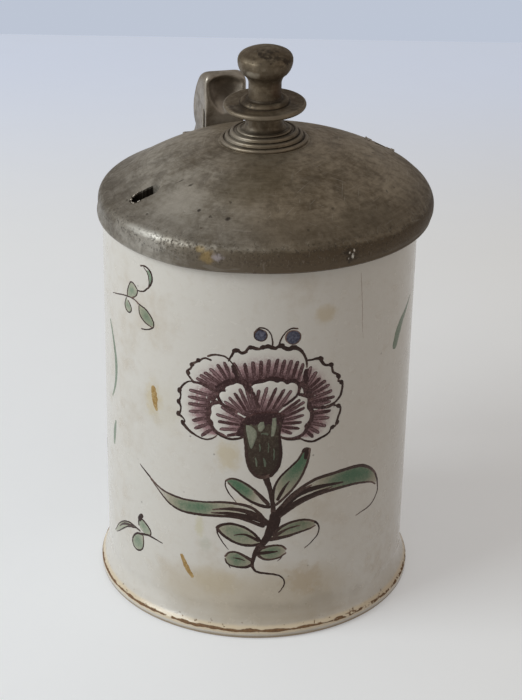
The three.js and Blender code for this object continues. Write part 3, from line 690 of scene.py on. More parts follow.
INNER_PETALS = [
    # middle petal
    ([(-1.4, 91), (-.3, 92), (1.2, 92.3), (2.6, 92.6), (4.2, 93.2), (5.6, 93), (6.7, 92.4), (8, 92.9), (9.2, 92.2),
      (9.8, 91.6), (11, 92.2), (12.4, 91.8), (13.2, 90.6), (13, 88.4)],
     [(-1.6, 84.6), (.4, 83.4), (2.4, 83), (4.4, 82.8), (6.4, 82.9), (8.6, 83.6)],
     [(1.1, 89.8), (3.5, 90.7), (6.3, 90.4), (8.8, 89.8), (11, 89.3)]),
    # upper left inner petal
    ([(-10, 84.8), (-10.6, 85.8), (-11.3, 87.4), (-10.6, 88.7), (-9.2, 88.9), (-9.4, 90.2), (-8, 91.2), (-6.8, 91.6),
      (-5.8, 92.2), (-4.6, 91.8), (-3.4, 91.4), (-1.4, 91.2)],
     [(-5.6, 82.2), (-4.4, 82), (-3.2, 82.2), (-2, 82.8), (-.8, 83.8), (.2, 85.2)],
     [(-9.4, 85.3), (-8, 86.8), (-6.3, 88.4), (-4.8, 90), (-3, 91), (-1.3, 90.6)]),
    # lower left inner petal
    ([(-10.9, 84.4), (-13.2, 83.6), (-13.9, 82.4), (-13.7, 81), (-14.2, 79), (-13.2, 77.8), (-13, 76.2),
      (-11.6, 74.7), (-10, 74.1), (-8.6, 73.2)],
     [(-5.4, 81.4), (-4.8, 80), (-4.2, 78.4), (-3.8, 76.8), (-3.4, 75), (-3.2, 73.6)],
     [(-10.4, 83.3), (-11.9, 80.5), (-11.3, 78.2), (-10.7, 75.6), (-8.4, 73.6)]),
    # right inner petal
    ([(13.6, 87.4), (15, 86.8), (16.4, 86.1), (16.3, 84.2), (16.4, 82.5), (17.3, 81.2), (17.3, 79), (16.4, 77.4),
      (15.5, 77), (15.8, 75.4), (14.8, 74), (13.2, 73.3), (11, 73), (8.4, 73.6)],
     [(8.8, 83.2), (8.8, 82), (8.6, 80.4), (8.4, 78.8), (8.2, 77.2), (8, 75)],
     [(13.8, 85.9), (15.2, 84.9), (15.3, 82.9), (15, 80.4), (14.4, 78), (13.7, 75.9), (11.4, 74.4)]),
]

# Near-black bands between the petals, and the ones drawn over the inner petals
PETAL_SHADOWS = [
    ((1, 1.5, 1.1), [(-7.2, 97.8), (-6.6, 96), (-5.8, 94.4), (-6, 92.6)]),
    ((.8, 1.3, 1.2), [(-20, 90.5), (-17, 90.4), (-14.2, 89.2), (-11.8, 87.6)]),
    ((.76, 1.5, 1.4), [(17, 82.6), (18.4, 82.6), (20.4, 82.2), (23, 82), (25.4, 82.6)]),
    ((1.2, 2.2, 1.4), [(15.7, 96), (15.6, 93.6), (15.9, 91)]),
    ((1.6, 2.6, 1.8), [(14.4, 91.6), (16.2, 89.4), (16.9, 87.4), (17.6, 85.4)]),
    ((.8, 1.4, 1.2), [(-12.4, 90), (-9.6, 92), (-7.4, 92.8), (-4, 92.4)]),
]
INNER_SHADOWS = [
    ((.9, 1.3, 1.5), [(-14, 85.4), (-12, 85), (-10.6, 84.4), (-8, 83.2), (-5.8, 82.1)]),
    ((.8, 1.2, 1.6), [(-2.2, 91), (-.8, 89.2), (.1, 87), (.7, 85), (.9, 83.4)]),
    ((.8, 1.1, 1.2), [(13.6, 88.4), (12, 86.6), (10.4, 85.4), (8.6, 84.2)]),
    ((2.2, 2.6, 3.2), [(-3.4, 92.2), (-2.6, 91.2), (-1.9, 90)]),
]

FLOWER_OUTLINES = [
    ((.58, 1, 1.3), [(-8.4, 99.4), (-7.4, 101.4), (-6.4, 103.1), (-5.4, 103), (-4.2, 102.3), (-3.1, 102.9)]),
    ((.72, 1.4, 1), [(-3.1, 102.9), (-2.3, 104.2), (-1.5, 104.6), (-.5, 104.1), (1, 104)]),
    ((.72, 1.6, 1.2), [(1, 104), (2.2, 104.4), (3.4, 104.9), (4.8, 104.4), (6, 104.1)]),
    ((.87, 1.4, 1.7), [(6, 104.1), (7.2, 104.9), (8.4, 104.3), (10, 103.6), (11.2, 104.1)]),
    ((1.9, 1, .58), [(11.2, 104.1), (12.6, 103.7), (14, 102.6), (15, 101), (15.7, 99), (15.9, 96.8)]),
    ((.43, .65, .43), [(-8.4, 100.1), (-7, 98.4), (-6, 96.6), (-5.2, 94.6)]),
    ((.65, .72, .87), [(-8.3, 100), (-9.6, 100.8), (-12, 101.1), (-13.6, 100.8), (-14.9, 100.2)]),
    ((.87, .72, 1), [(-14, 99), (-15.5, 99.4), (-17, 98.9), (-17.8, 98.1), (-19.6, 97)]),
    ((.58, .87, .72), [(-19.6, 97), (-20.4, 96.2), (-20.1, 95.4), (-21.3, 94.4), (-21.9, 93.2), (-21, 91.9),
                       (-19.5, 90.4)]),
    ((.43, .72, .87), [(-19, 90.6), (-21, 90.4), (-22.8, 89.2), (-24.1, 87.4), (-24.8, 86.4)]),
    ((1.4, .58, 1), [(-24.7, 86.6), (-24.1, 84.8), (-24.5, 83.3), (-25.2, 82.3)]),
    ((1.6, .58, 1), [(-25, 82.5), (-24.1, 80.8), (-24.4, 78.9), (-25.1, 77.9)]),
    ((1.4, .58, .87), [(-24.9, 78), (-23.2, 77), (-22.6, 75.9), (-23.7, 75.2)]),
    ((1.6, .72, .43), [(-23.5, 75.3), (-21.5, 73.4), (-18.8, 71.9), (-15.6, 71.2), (-13.2, 72), (-11.8, 73.3)]),
    ((.58, 1, .72), [(-12, 73.9), (-10, 72.9), (-7.5, 72.4), (-5, 72.8), (-3, 73.6)]),
    ((.58, .87, 1.2), [(16, 99.2), (17.6, 99.2), (19, 99.4), (20.4, 99.2)]),
    ((1.6, .87, .87), [(20.2, 99.3), (20.8, 98), (21.6, 96.9), (23, 96.4), (24.2, 96.3), (24.4, 95)]),
    ((.72, .87, .87), [(24.4, 95), (24.8, 93.6), (26.2, 92.7), (27, 91.8), (26.7, 90.4)]),
    ((.87, 1, .58), [(26.7, 90.2), (28.2, 89.3), (28.2, 87), (27.6, 84.8), (26.2, 83.3), (24.6, 82.4), (22.6, 81.9)]),
    ((.58, 1, .72), [(25.2, 82), (26.8, 81.6), (27.9, 80.6), (27.7, 79), (27, 77.2), (26.6, 75.6), (26.2, 74.4)]),
    ((.72, 1, .58), [(26.2, 74.5), (24.6, 73.9), (24, 72.6), (22.6, 71.9), (21, 71.3), (18.6, 70.6), (16, 71.3),
                    (14.2, 72.4)]),
    ((.58, .87, .58), [(14.4, 72.2), (12, 72.1), (9.6, 72.6), (8, 73.8)]),
    # calyx and the feelers over the flower
    ((.72, 1.3, 1.6), [(-3, 78.4), (-3.2, 75), (-2.7, 70), (-2.3, 66), (-1.3, 62.4), (.6, 59.9), (3, 59.2),
                       (5.4, 60)]),
    ((1.6, 1.2, .87), [(5.2, 59.8), (7.2, 62.4), (8.2, 66.4), (8.1, 70), (7.7, 74), (8, 78.6)]),
    ((.58, .43, .8), [(5, 104.8), (4.9, 107), (4.4, 108.8), (3.4, 110.3), (2, 111), (.6, 110.8), (-.5, 109.4)]),
    ((.72, .43, .72), [(7, 104.8), (7.3, 106.5), (8, 108), (9, 109.4), (10.2, 110.3), (11.5, 110.6), (12.6, 110.3)]),
]

# Blots where the brush turned along the outline
OUTLINE_BLOTS = [((1.2, 1.7, 1.2), [(x, z), (x + dx, z + dz)]) for x, z, dx, dz in (
    (-6.9, 103, 1.5, .3), (-2.1, 104.4, .8, .1), (1.6, 104.4, 1, .3), (7, 104.7, 1.2, .4), (10.6, 104, 1.6, .2),
    (20, 99.4, .8, -.6), (23.6, 96.6, .8, -.4), (26.4, 92.2, .7, -.8), (27.6, 89.8, .5, -.6), (-24.4, 87, -.4, -1),
    (-24.8, 82.9, -.2, -.8), (-24.9, 78.6, -.3, -.8), (-23.6, 75.8, .3, -.8), (-21.7, 93.8, .3, -.8),
    (-19.9, 96.7, -.6, -.6), (-17.7, 98.4, -.6, -.3), (26.8, 81.6, .7, -.5), (27, 76, -.3, -.8),
    (25.6, 74.4, -.8, -.2))]

# Where the outer and the inner petals point to, and the dark heart where they all run together
OUTER_HEART, INNER_HEART = (2.5, 80), (2.5, 77)
HEART = [(-6.4, 73.6), (-5.4, 76), (-4.4, 78.6), (-2.8, 80.6), (-.6, 81.9), (1.8, 82.4), (4, 82.6), (7, 82.2),
         (9.6, 81.4)], [
    (-3, 73.4), (-3, 76), (-2.6, 77.4), (0, 77.6), (2, 77.6), (4.4, 77.6), (6, 77.6), (7.4, 77.4), (8.4, 77)]
CALYX = [(-3, 78.3), (-3.3, 76), (-2.9, 71), (-2.4, 66), (-1.6, 63), (0, 60.4), (1.8, 59.6)], [
    (8.1, 78.3), (7.8, 74), (8, 70), (8.2, 67), (7.4, 63), (6, 60.6), (4.4, 59.6)]
CALYX_LOBES = [
    ([(-2.9, 77.8), (-2.6, 75.4), (-2, 72.2), (-1.4, 69.8), (-.9, 69.4)],
     [(-1.2, 77.6), (.4, 75.9), (.7, 74), (.1, 71.8), (-.7, 69.6)]),
    ([(.8, 77.4), (1.6, 78.8), (2.8, 79)], [(1.2, 75.6), (2.2, 75.6), (3.1, 77)]),
    ([(5.1, 73.6), (5.2, 76.8), (5.4, 80.2)], [(6, 73.8), (6.7, 77), (6.6, 80.4)]),
]
CALYX_STREAKS = [
    ((1.1, .84, .36), [(4, 74.4), (3, 74.9), (1.8, 74.5)]), ((.36, .84, .36), [(.2, 66.4), (.7, 64.6), (.8, 63)]),
    ((.36, 1.1, .48), [(2.9, 66.2), (3.4, 64.4), (3.3, 62.8)]),
    ((.36, .72, .36), [(6, 69.6), (6.2, 67), (6.1, 65.2)]),
    ((.24, .6, .24), [(4.2, 71.6), (4.4, 69.6), (4.2, 68)]),
    ((.24, .6, .24), [(1.4, 71.4), (1.7, 69.6), (1.6, 68.2)]),
]

STEM = [
    ((2.6, 1.6, 1.8), [(3.4, 59.8), (4.2, 57.5), (5, 55), (5.6, 52), (6.1, 49), (6.3, 46)]),
    ((1.8, 3.1, 1.9), [(6.3, 46), (5.9, 43), (5.3, 40), (4.6, 37.4), (3, 34.8), (1.6, 33.2)]),
    ((1.7, 1.6, 1), [(1.6, 33.4), (.8, 31.6), (.2, 29.2), (-.2, 27.5), (0, 26)]),
    ((1, .72, .36), [(0, 26.2), (.6, 24.9), (1.8, 24.1), (4.4, 23.6), (7.6, 23), (9.4, 22), (10.4, 20.2), (10, 18.2),
                     (8.6, 16)]),
]

# Leaves: upper edge, lower edge, the green from the stalk to the tip, and the widths of the two outlines
LEAVES = [
    ([(4.6, 50), (3, 51.8), (1, 53.8), (-1, 55.6), (-3, 57), (-5, 58), (-6.5, 58.3), (-8, 58.1), (-9, 57.2)],
     [(4.8, 48.4), (3, 48.7), (1, 49.5), (-1, 50.5), (-3, 51.9), (-5, 53.6), (-7, 55.5), (-8.2, 56.8)],
     (.1, .3, .9, 1, .8), (.8, .96, .72), (1.6, .96, .56)),
    ([(6.2, 50), (6.2, 52.5), (6.5, 55.4), (7.6, 58), (9.4, 60.4), (11.8, 62.7), (14, 65), (15.4, 67.6)],
     [(7, 49), (9, 50.8), (11, 52.8), (12.8, 55), (14.6, 57.6), (16, 60.6), (17.1, 64), (17.6, 68)],
     (.2, .5, .8, 1, 1), (1, .8, .8), (1.1, .96, 1)),
    ([(7.4, 46), (9.5, 49), (12, 52), (15, 54.3), (18, 56), (21, 57), (25, 57.4), (31, 57.6), (36, 57.2),
      (39.6, 55.7), (42.6, 53.4), (44.6, 50.8), (45.7, 48.2)],
     [(8, 44.4), (10, 46), (13, 48), (16, 49.5), (20, 50.8), (25, 51.5), (31, 51.4), (35, 51), (39, 50),
      (42.4, 48.8), (44.8, 47)],
     (0, .1, .3, .8, 1, .9, .3), (1.6, 1.3, 1.3, 1.3, .8), (1.6, 1.3, 1.3, .96, .6)),
    ([(3.6, 43.6), (2.2, 45.6), (.4, 47.4), (-2, 48.7), (-6, 49.4), (-10, 49.4), (-16, 48.5), (-22, 47.9),
      (-27, 48), (-31, 48.6), (-34.4, 50), (-37, 51.6)],
     [(3, 41.4), (1, 42.3), (-2, 43.5), (-6, 44.4), (-11, 44.2), (-18, 43.5), (-24, 43.3), (-28, 44.4), (-31, 46.4),
      (-34, 49), (-36.4, 50.8)],
     (.1, .3, .5, .9, .8, .3, 0), (1.3, 1.1, .7, .9, .7), (1.6, 1.1, 1.1, .8, .5)),
    ([(2.5, 35.6), (1.5, 37), (0, 38.8), (-2, 40.3), (-4, 41.2), (-6.5, 41.8), (-8.5, 41.6), (-10.5, 40.8),
      (-11.6, 39.8)],
     [(2, 34.7), (0, 34.2), (-2, 34.2), (-4, 34.4), (-6, 35.1), (-8, 36.2), (-10, 37.6), (-11.4, 39.2)],
     (.45, .65, .75, .7, .4), (1.1, .96, 1.3), (1.3, .96, 1.3)),
    ([(5, 37.6), (7, 39), (9, 40.8), (11, 41.8), (13, 42.4), (15.5, 42.6), (18, 42.2), (20, 41.2)],
     [(5.6, 36.4), (8, 36.7), (11, 37.2), (13, 37.7), (15, 38.2), (17, 38.6), (19, 39.1), (20.4, 39.8)],
     (.4, .62, .75, .75, .5), (1.6, .96, .8), (1.9, 1.1, .48)),
    ([(-.5, 28.7), (-2, 29.6), (-3.5, 30.6), (-5, 31.3), (-6.6, 31.4), (-8, 30.8), (-8.9, 29.4)],
     [(-.5, 26.8), (-2, 26), (-4, 25.8), (-6, 26), (-7.4, 26.4), (-8.4, 27.2), (-8.9, 28.6)],
     (.5, .7, .85, .7, .4), (1.6, .8, .8), (1.4, .8, .64)),
    ([(1.4, 31.8), (2.5, 32.9), (4, 33.5), (6, 34), (8, 34), (9.5, 33.6), (10.6, 32.4)],
     [(1.4, 31), (2.2, 30), (3.5, 29.1), (5, 28.8), (7, 29), (9, 29.7), (10.6, 31)],
     (.4, .7, .85, .7, .3), (1.6, .8, .8), (1.3, .8, .64)),
    # sprig at the upper left
    ([(-40.8, 110.6), (-39, 110.6), (-37, 109.6), (-35.3, 108), (-34.4, 106.4)],
     [(-41, 110), (-40.6, 107.8), (-39, 106.2), (-37, 105.4), (-35, 105)], (.5, .85, .7)),
    ([(-46.9, 111.6), (-47, 113.2), (-46.4, 115), (-45.4, 116.8), (-44.4, 117.3)],
     [(-45, 112), (-43.4, 112.6), (-42.2, 113.8), (-41.9, 115.2), (-43, 116.7)], (.6, .8, .5)),
    ([(-41.5, 115.5), (-39, 116), (-36.8, 117.8), (-35.3, 119.8), (-34.9, 121.8), (-36, 124)],
     [(-41, 115.4), (-38.8, 116.2), (-37, 117.6), (-36.3, 119.6), (-36.4, 121.4), (-37.6, 123.6)], (.5, .9, .8)),
    ([(-47.4, 110.8), (-46.4, 110.2), (-45.3, 109), (-44.9, 107.6), (-45.8, 106.5)],
     [(-47.8, 110.6), (-48.5, 109), (-48.4, 107.4), (-47, 106.4)], (.5, .8, .5)),
    # sprig at the lower left
    ([(-42.6, 31.6), (-42.4, 33.2), (-41.2, 33.8), (-39.4, 33.1), (-37.4, 31.8)],
     [(-42, 30), (-40, 29), (-38, 29), (-36.8, 29.8)], (.6, .8, .6)),
    ([(-41, 28), (-43.2, 27.4), (-45, 26), (-46.2, 24), (-46, 22)],
     [(-40.4, 27.4), (-40.2, 25.4), (-40.6, 23), (-42.4, 21.2), (-44.4, 20.9)], (.55, .85, .6)),
    ([(-44, 29.3), (-47, 29.3), (-50, 28.6), (-53, 27), (-56, 24.6), (-58.5, 21.5), (-60, 20)],
     [(-44, 29), (-47.5, 27.8), (-50, 26.5), (-53, 24.2), (-56, 21.8), (-58, 20.4)], (.45, .65, .5)),
]

# Veins, tips and tendrils of the leaves
LEAF_LINES = [
    ((.9, .8, .64), [(44.4, 51), (45.6, 48.4), (46, 45.6)]),
    ((.9, .7, .32), [(-36.6, 51.4), (-39, 52.8), (-41.6, 54.3)]),
    ((.96, .8, .6), [(20, 41.2), (20.8, 40.6), (21.4, 39.6)]),
    ((1.1, 1, .9), [(15.4, 67.4), (15.7, 68.4), (17.3, 68.2)]),
    ((.48, .48, .24), [(-9, 57.4), (-9.1, 55.8), (-8.6, 54.3), (-7.7, 52.7), (-6.6, 51.2), (-5.4, 49.8)]),
    ((1.4, 1.1, .48), [(4.6, 49.4), (3, 51), (1.6, 52.6), (0, 54)]),
    ((1.3, 1.7, 1.8), [(16.3, 65), (16.6, 66.8), (16.5, 68)]),
    ((1.3, 1.3, .48), [(7.6, 51), (8.6, 53), (9.8, 55.4), (11.2, 57.4)]),
    ((2.4, 1.8, .5), [(9, 45.8), (13.6, 49.2), (19.6, 51.6), (26, 52.6)]),
    ((3.2, 2.2, .64), [(8, 46), (11, 49.8), (14.6, 52.4), (19, 53.5), (24, 53.7), (30, 53.2)]),
    ((1.4, 1.6, .7), [(9.4, 48.4), (12, 51.2), (15, 53.4), (18.6, 54.9)]),
    ((.64, .56, .32), [(46, 46), (46.1, 44.5), (45.4, 42.8), (43.6, 40.8), (41, 39.7), (38.4, 39.3), (35.8, 38.8)]),
    ((1.2, 1.8, 1.5, .5), [(4.6, 42.2), (1, 43.9), (-3, 45), (-8, 45.5), (-13.6, 45)]),
    ((2.4, 3.2, 2.2), [(7.6, 43.8), (6.9, 41.6), (6, 39.6)]),
    ((3, 1.7, .5), [(3.6, 42.8), (1.4, 44.8), (-1.6, 46.4), (-5, 47.2), (-9, 47.1), (-13.2, 46.2)]),
    ((.64, .48, .24), [(-11.7, 39.6), (-11.6, 38), (-11, 36.6), (-10, 35), (-9, 33.5), (-7.8, 32)]),
    ((1.4, .96, .4), [(1.6, 36), (-1, 37.5), (-3, 38.2), (-5, 38), (-6.2, 37.6)]),
    ((.64, .48, .32), [(21.2, 40), (21.7, 38.4), (21.2, 36.2), (20, 34.7), (18.8, 33.4), (16.8, 31.8)]),
    ((1.9, .96, .4), [(7, 37.7), (9.6, 39.2), (12, 40.2), (15.2, 40.7)]),
    ((.48, .32, .19), [(-7.8, 26.6), (-7.6, 25.8), (-7.1, 25.2)]),
    ((.32, .64, .32), [(-2.4, 28.4), (-4.4, 29), (-6.4, 29.2)]),
    ((.48, .32, .19), [(9.4, 29.8), (8.8, 28.8), (7.8, 28)]),
    ((1.6, 1.4, .48), [(1.8, 31.2), (3.6, 31.4), (5.8, 31.6), (8, 31.8)]),
    # upper left sprig
    ((.32, .56, .64), [(-57.5, 108.8), (-54, 109.8), (-50, 111), (-46, 111.8), (-43, 111.8), (-41, 111)]),
    ((.64, .56, .48), [(-41, 111), (-38, 110.4), (-36, 109), (-34.7, 107.4), (-34.4, 105.6), (-36, 104.2),
                     (-38, 103.4), (-40, 103)]),
    ((.48, .64, .48), [(-41, 110.6), (-40.8, 108), (-39, 106.2), (-37, 105.4), (-35, 105)]),
    ((.48, .56, .48), [(-47, 111.4), (-47, 113.2), (-46.4, 115), (-45.4, 116.8), (-44.3, 117.4), (-42.8, 116.7),
                     (-41.6, 115.4), (-42.1, 113.8), (-43.5, 112.5), (-45, 112)]),
    ((.48, .8, .64), [(-41.6, 115.4), (-39, 116), (-36.8, 117.8), (-35.3, 119.8), (-34.9, 121.8), (-35.6, 123.6),
                    (-37.2, 124.6), (-38.8, 124.7), (-40, 124.2)]),
    ((.32, .48, .32), [(-38.6, 124.3), (-37, 123), (-36.3, 121), (-36.3, 119), (-37, 117.5)]),
    ((.48, .56, .48), [(-47.6, 111), (-48.5, 109), (-48.4, 107.4), (-47.1, 106.4), (-45.6, 106.6), (-44.9, 107.8),
                     (-45.4, 109.2), (-46.6, 110.3)]),
    # lower left sprig
    ((.32, .8, .96), [(-31.4, 28.5), (-35, 28.9), (-37.5, 29), (-39.5, 28.6), (-41.4, 28.1)]),
    ((.64, .8, .64), [(-42.6, 30.8), (-42.6, 32.8), (-41.4, 33.8), (-39.4, 33.2), (-37.6, 32), (-36.6, 30.6),
                      (-37, 29)]),
    ((1.8, 2.1, 1.4), [(-42.2, 33.2), (-41.6, 34.3), (-40.8, 35.2)]),
    ((.96, .64, .64), [(-40.6, 28), (-43.2, 27.4), (-45, 26), (-46.2, 24), (-46, 22), (-44.4, 20.9), (-42.5, 21.1),
                    (-40.8, 22.6), (-40.2, 25), (-40.4, 27.6)]),
    ((.8, .64, .32), [(-42, 28.9), (-47, 29.3), (-50, 28.6), (-53, 27), (-56, 24.6), (-58.5, 21.5), (-60, 20)]),
    ((.48, .64, .32), [(-44, 29), (-47.5, 27.8), (-50, 26.5), (-53, 24.2), (-56, 21.8), (-58.4, 20.2)]),
    ((1.4, .96, .48), [(-46, 28.6), (-50, 27.6), (-53, 26), (-55.4, 24)]),
]

GREY_STROKES = [
    ((1.2, 2.6, 1), [(-60.5, 98), (-58.5, 94), (-57, 90), (-56, 86), (-55.8, 82), (-56.4, 78), (-58, 74), (-60, 71)]),
    ((1, 3, 1.6), [(-57, 63), (-58, 60), (-58.6, 57), (-59, 54)]),
    ((3.6, 4.6, 2.4, .8), [(52.4, 94.6), (54, 98.2), (56.5, 101.4), (60, 104), (64, 107)]),
    ((.8, 1.2, .5), [(51.4, 93.6), (53.2, 97), (56, 100.4)]),
]
HAIRLINE = [((.14, .2, .1), [(33.7, 125.4), (34.3, 119), (34.8, 113.9), (35.1, 108), (35.7, 102.4)])]
BUDS = [((1.3, 108.5), 1.95), ((11.3, 107.5), 2.35)]
OCHRE_DABS = [((2.2, 3, 1), [(-34.8, 84), (-34.4, 81.4), (-34, 78.4), (-33.6, 76.8)]),
              ((1.3, 2.3, 1.5), [(-24, 26.8), (-23, 24.6), (-21.8, 22), (-20, 19.6)])]


# Painting on the wall

def build_lay_on_wall():
    """Rolls a flat drawing round the wall: x is the way along it, y the height, z how far it stands out."""
    t, given, out = new_group("lay_on_wall", [("Geometry", "geometry"), ("Wall", "object")])
    wall = t.node("GeometryNodeObjectInfo", {0: given["Wall"]}).outputs["Geometry"]
    along, height, stand = t.split(t.node("GeometryNodeInputPosition"))
    angle = t.plus(t.math("DIVIDE", along, BODY_RADIUS * MM), FRONT_BEARING)
    ray = t.xyz(t.math("COSINE", angle), t.math("SINE", angle))
    rise = t.xyz(z=height)
    reach = 1.4 * BODY_RADIUS * MM
    met = t.node("GeometryNodeRaycast", {
        0: wall, "Source Position": t.vector("ADD", t.scaled(ray, reach), rise),
        "Ray Direction": t.scaled(ray, -1.0), "Ray Length": reach}).outputs["Hit Distance"]
    radius = t.plus(t.minus(reach, met), stand)
    place = t.vector("ADD", t.scaled(ray, radius), rise)
    t.feed(out[0], t.node("GeometryNodeSetPosition", {0: given["Geometry"], 2: place}))
    return t.tree


def build_paint_layer(lay_on_wall):
    """A flat drawing becomes a very thin closed layer of colour whose edges dip into the glaze."""
    t, given, out = new_group("paint_layer", [
        ("Geometry", "geometry"), ("Wall", "object"), ("Lift", "number", 0.02 * MM), ("Sink", "number", 0.02 * MM),
        ("Material", "material")])
    neighbours = t.node("GeometryNodeInputMeshEdgeNeighbors")
    marked = t.node("GeometryNodeCaptureAttribute")
    marked.capture_items.new("BOOLEAN", "Border")
    marked.domain = "EDGE"
    t.feed(marked.inputs[0], given["Geometry"])
    t.feed(marked.inputs[1], t.node("FunctionNodeCompare", {"A": neighbours, "B": 1}, data_type="INT",
                                    operation="EQUAL"))
    flat, edge = marked.outputs[0], marked.outputs[1]
    depth = t.times(given["Sink"], -1.0)
    height = t.node("GeometryNodeSwitch", {0: edge, 1: given["Lift"], 2: depth}, input_type="FLOAT")
    top = t.node("GeometryNodeSetPosition", {0: flat, 3: t.xyz(z=height)})
    under = t.node("GeometryNodeSetPosition", {0: t.node("GeometryNodeFlipFaces", {0: flat}), 3: t.xyz(z=depth)})
    both = t.node("GeometryNodeJoinGeometry")
    t.feed(both.inputs[0], top)
    t.feed(both.inputs[0], under)
    closed = t.node("GeometryNodeMergeByDistance", {0: both, 2: 1e-7})
    laid = use_group(t, lay_on_wall, Geometry=closed, Wall=given["Wall"])[0]
    return t.hand_out(out, laid, given["Material"])


def build_brush_lines(paint_layer):
    """Brush lines along drawn curves, as wide as each point's radius, a little ragged and uneven in colour."""
    t, given, out = new_group("brush_lines", [
        ("Geometry", "geometry"), ("Wall", "object"), ("Pace", "number", 0.35 * MM),
        ("Raggedness", "number", 0.1 * MM), ("Lift", "number", 0.05 * MM), ("Colour Load", "number", 0.85),
        ("Unevenness", "number", 0.25), ("Seed", "count", 1), ("Material", "material")])
    paths = t.node("GeometryNodeResampleCurve", {0: given["Geometry"], "Length": given["Pace"]}, mode="LENGTH")
    upright = t.node("GeometryNodeSetCurveNormal", {0: paths}, mode="Z_UP")
    which = t.node("GeometryNodeCurveOfPoint")
    chance = t.node("FunctionNodeRandomValue", {"ID": which, "Seed": given["Seed"]}, data_type="FLOAT").outputs[1]
    fade = t.ramp(t.node("GeometryNodeSplineParameter"), 0.75, 1.0, 0.0, 0.18)
    load = t.minus(t.plus(given["Colour Load"], t.times(t.minus(chance, 0.5), given["Unevenness"])), fade)
    noted = t.note(t.note(upright, "load", load), "order", t.times(which, 0.0003 * MM))
    brush = t.node("GeometryNodeCurvePrimitiveLine", {"Start": (-1, 0, 0), "End": (1, 0, 0)})
    hairs = t.node("GeometryNodeResampleCurve", {0: brush, "Count": 8})
    ribbon = t.node("GeometryNodeCurveToMesh", {0: noted, 1: hairs, 2: t.node("GeometryNodeInputRadius")})
    slip = t.scaled(t.slips(t.node("GeometryNodeInputPosition"), 900.0), given["Raggedness"])
    drawn = t.node("GeometryNodeSetPosition", {0: ribbon, 3: t.vector("MULTIPLY", slip, (2.0, 2.0, 0.0))})
    painted = use_group(t, paint_layer, Geometry=drawn, Wall=given["Wall"], Material=given["Material"],
                        Lift=t.plus(given["Lift"], t.note_read("order")))
    t.feed(out[0], painted[0])
    return t.tree


def smooth_path(points, pace=0.4, count=None):
    """Rounds a drawn line through its points, as evenly spaced (along, height)."""
    p = np.array(points, float)
    padded = np.vstack([2 * p[0] - p[1], p, 2 * p[-1] - p[-2]])
    fine = []
    for i in range(1, len(padded) - 2):
        a, b, c, d = padded[i - 1:i + 3]
        for s in np.linspace(0, 1, 12, endpoint=False):
            fine.append(0.5 * (2 * b + (c - a) * s + (2 * a - 5 * b + 4 * c - d) * s ** 2
                               + (3 * b - a - 3 * c + d) * s ** 3))
    fine = np.array(fine + [p[-1]])
    way = walked(fine)
    return points_at(fine, way, np.linspace(0, way[-1], count or max(3, round(way[-1] / pace) + 1)))


def lengthened(path, first, last):
    """Lengthens a path a little at both ends, so that a round brush end comes where it was drawn."""
    head, tail = path[0] - path[1], path[-1] - path[-2]
    start = path[0] + head / np.linalg.norm(head) * first
    end = path[-1] + tail / np.linalg.norm(tail) * last
    return smooth_path(np.vstack([start, path[1:-1:3], end]))


def brush_lines(name, strokes, pigment, lift, load=0.85, unevenness=0.25, raggedness=0.1, seed=1):
    """One piece from many brush lines, each given as (widths, points)."""
    lines, radii = [], []
    for widths, points in strokes:
        path = lengthened(smooth_path(points), widths[0] / 2, widths[-1] / 2)
        share = np.linspace(0, 1, len(path))
        half = np.interp(share, np.linspace(0, 1, len(widths)), widths) / 2
        step = np.linalg.norm(path[1] - path[0])
        left = np.minimum(share, 1 - share) * (len(path) - 1) * step / np.maximum(half, 0.05)
        lines.append([(x, y, 0) for x, y in path])
        radii.append(half * np.sqrt(1 - (1 - np.clip(left, 0.02, 1)) ** 2))
    drawn = curve_object(name, lines, radii)
    wear_tree(drawn, BRUSH_LINES, Wall=body, Raggedness=raggedness * MM, Lift=lift * MM,
              Colour_Load=load, Unevenness=unevenness, Seed=seed, Material=pigments[pigment])
    hand_over(settle(drawn, name), "jug", "faience")


def wash(points, faces, loads, stand, edge_a, edge_b, across_load, along_load, count=28, rows=9):
    """Adds a field of colour between two drawn edges; the colour's load varies across and along it."""
    across, along = ([0, *np.linspace(0.012, 0.988, n - 2), 1] for n in (rows, count))
    a, b = (points_at(path, np.linspace(0, 1, len(path)), along)
            for path in (smooth_path(edge_a, 0.15), smooth_path(edge_b, 0.15)))
    faces += row_faces(len(points), rows, count)
    for s in across:
        points += [(x * MM, y * MM, stand * MM) for x, y in a * (1 - s) + b * s]
        load = np.interp(s, np.linspace(0, 1, len(across_load)), across_load)
        loads += [*(load * np.interp(along, np.linspace(0, 1, len(along_load)), along_load))]


def wash_piece(name, washes, pigment, lift):
    """One piece from several washes, each (edge, edge, load across, load along)."""
    points, faces, loads = [], [], []
    for order, drawn_wash in enumerate(washes):
        wash(points, faces, loads, order * 0.0008, *drawn_wash)
    drawn = mesh_object(name, points, faces=faces)
    note_values(drawn.data, "load", loads)
    wear_tree(drawn, PAINT_LAYER, Wall=body, Lift=lift * MM, Material=pigments[pigment])
    hand_over(settle(drawn, name), "jug", "faience")


def feathered(petals):
    """Where each feathered stroke of the petals starts, at a petal's base, and its drawn tip."""
    return [pair for _, base, tips in petals
            for pair in zip(smooth_path(base, count=len(tips) + 2)[1:-1], np.array(tips))]


def feathers(petals, width):
    return [((width * 0.7, width, width * 0.9), [foot, (foot + tip) / 2, tip]) for foot, tip in feathered(petals)]


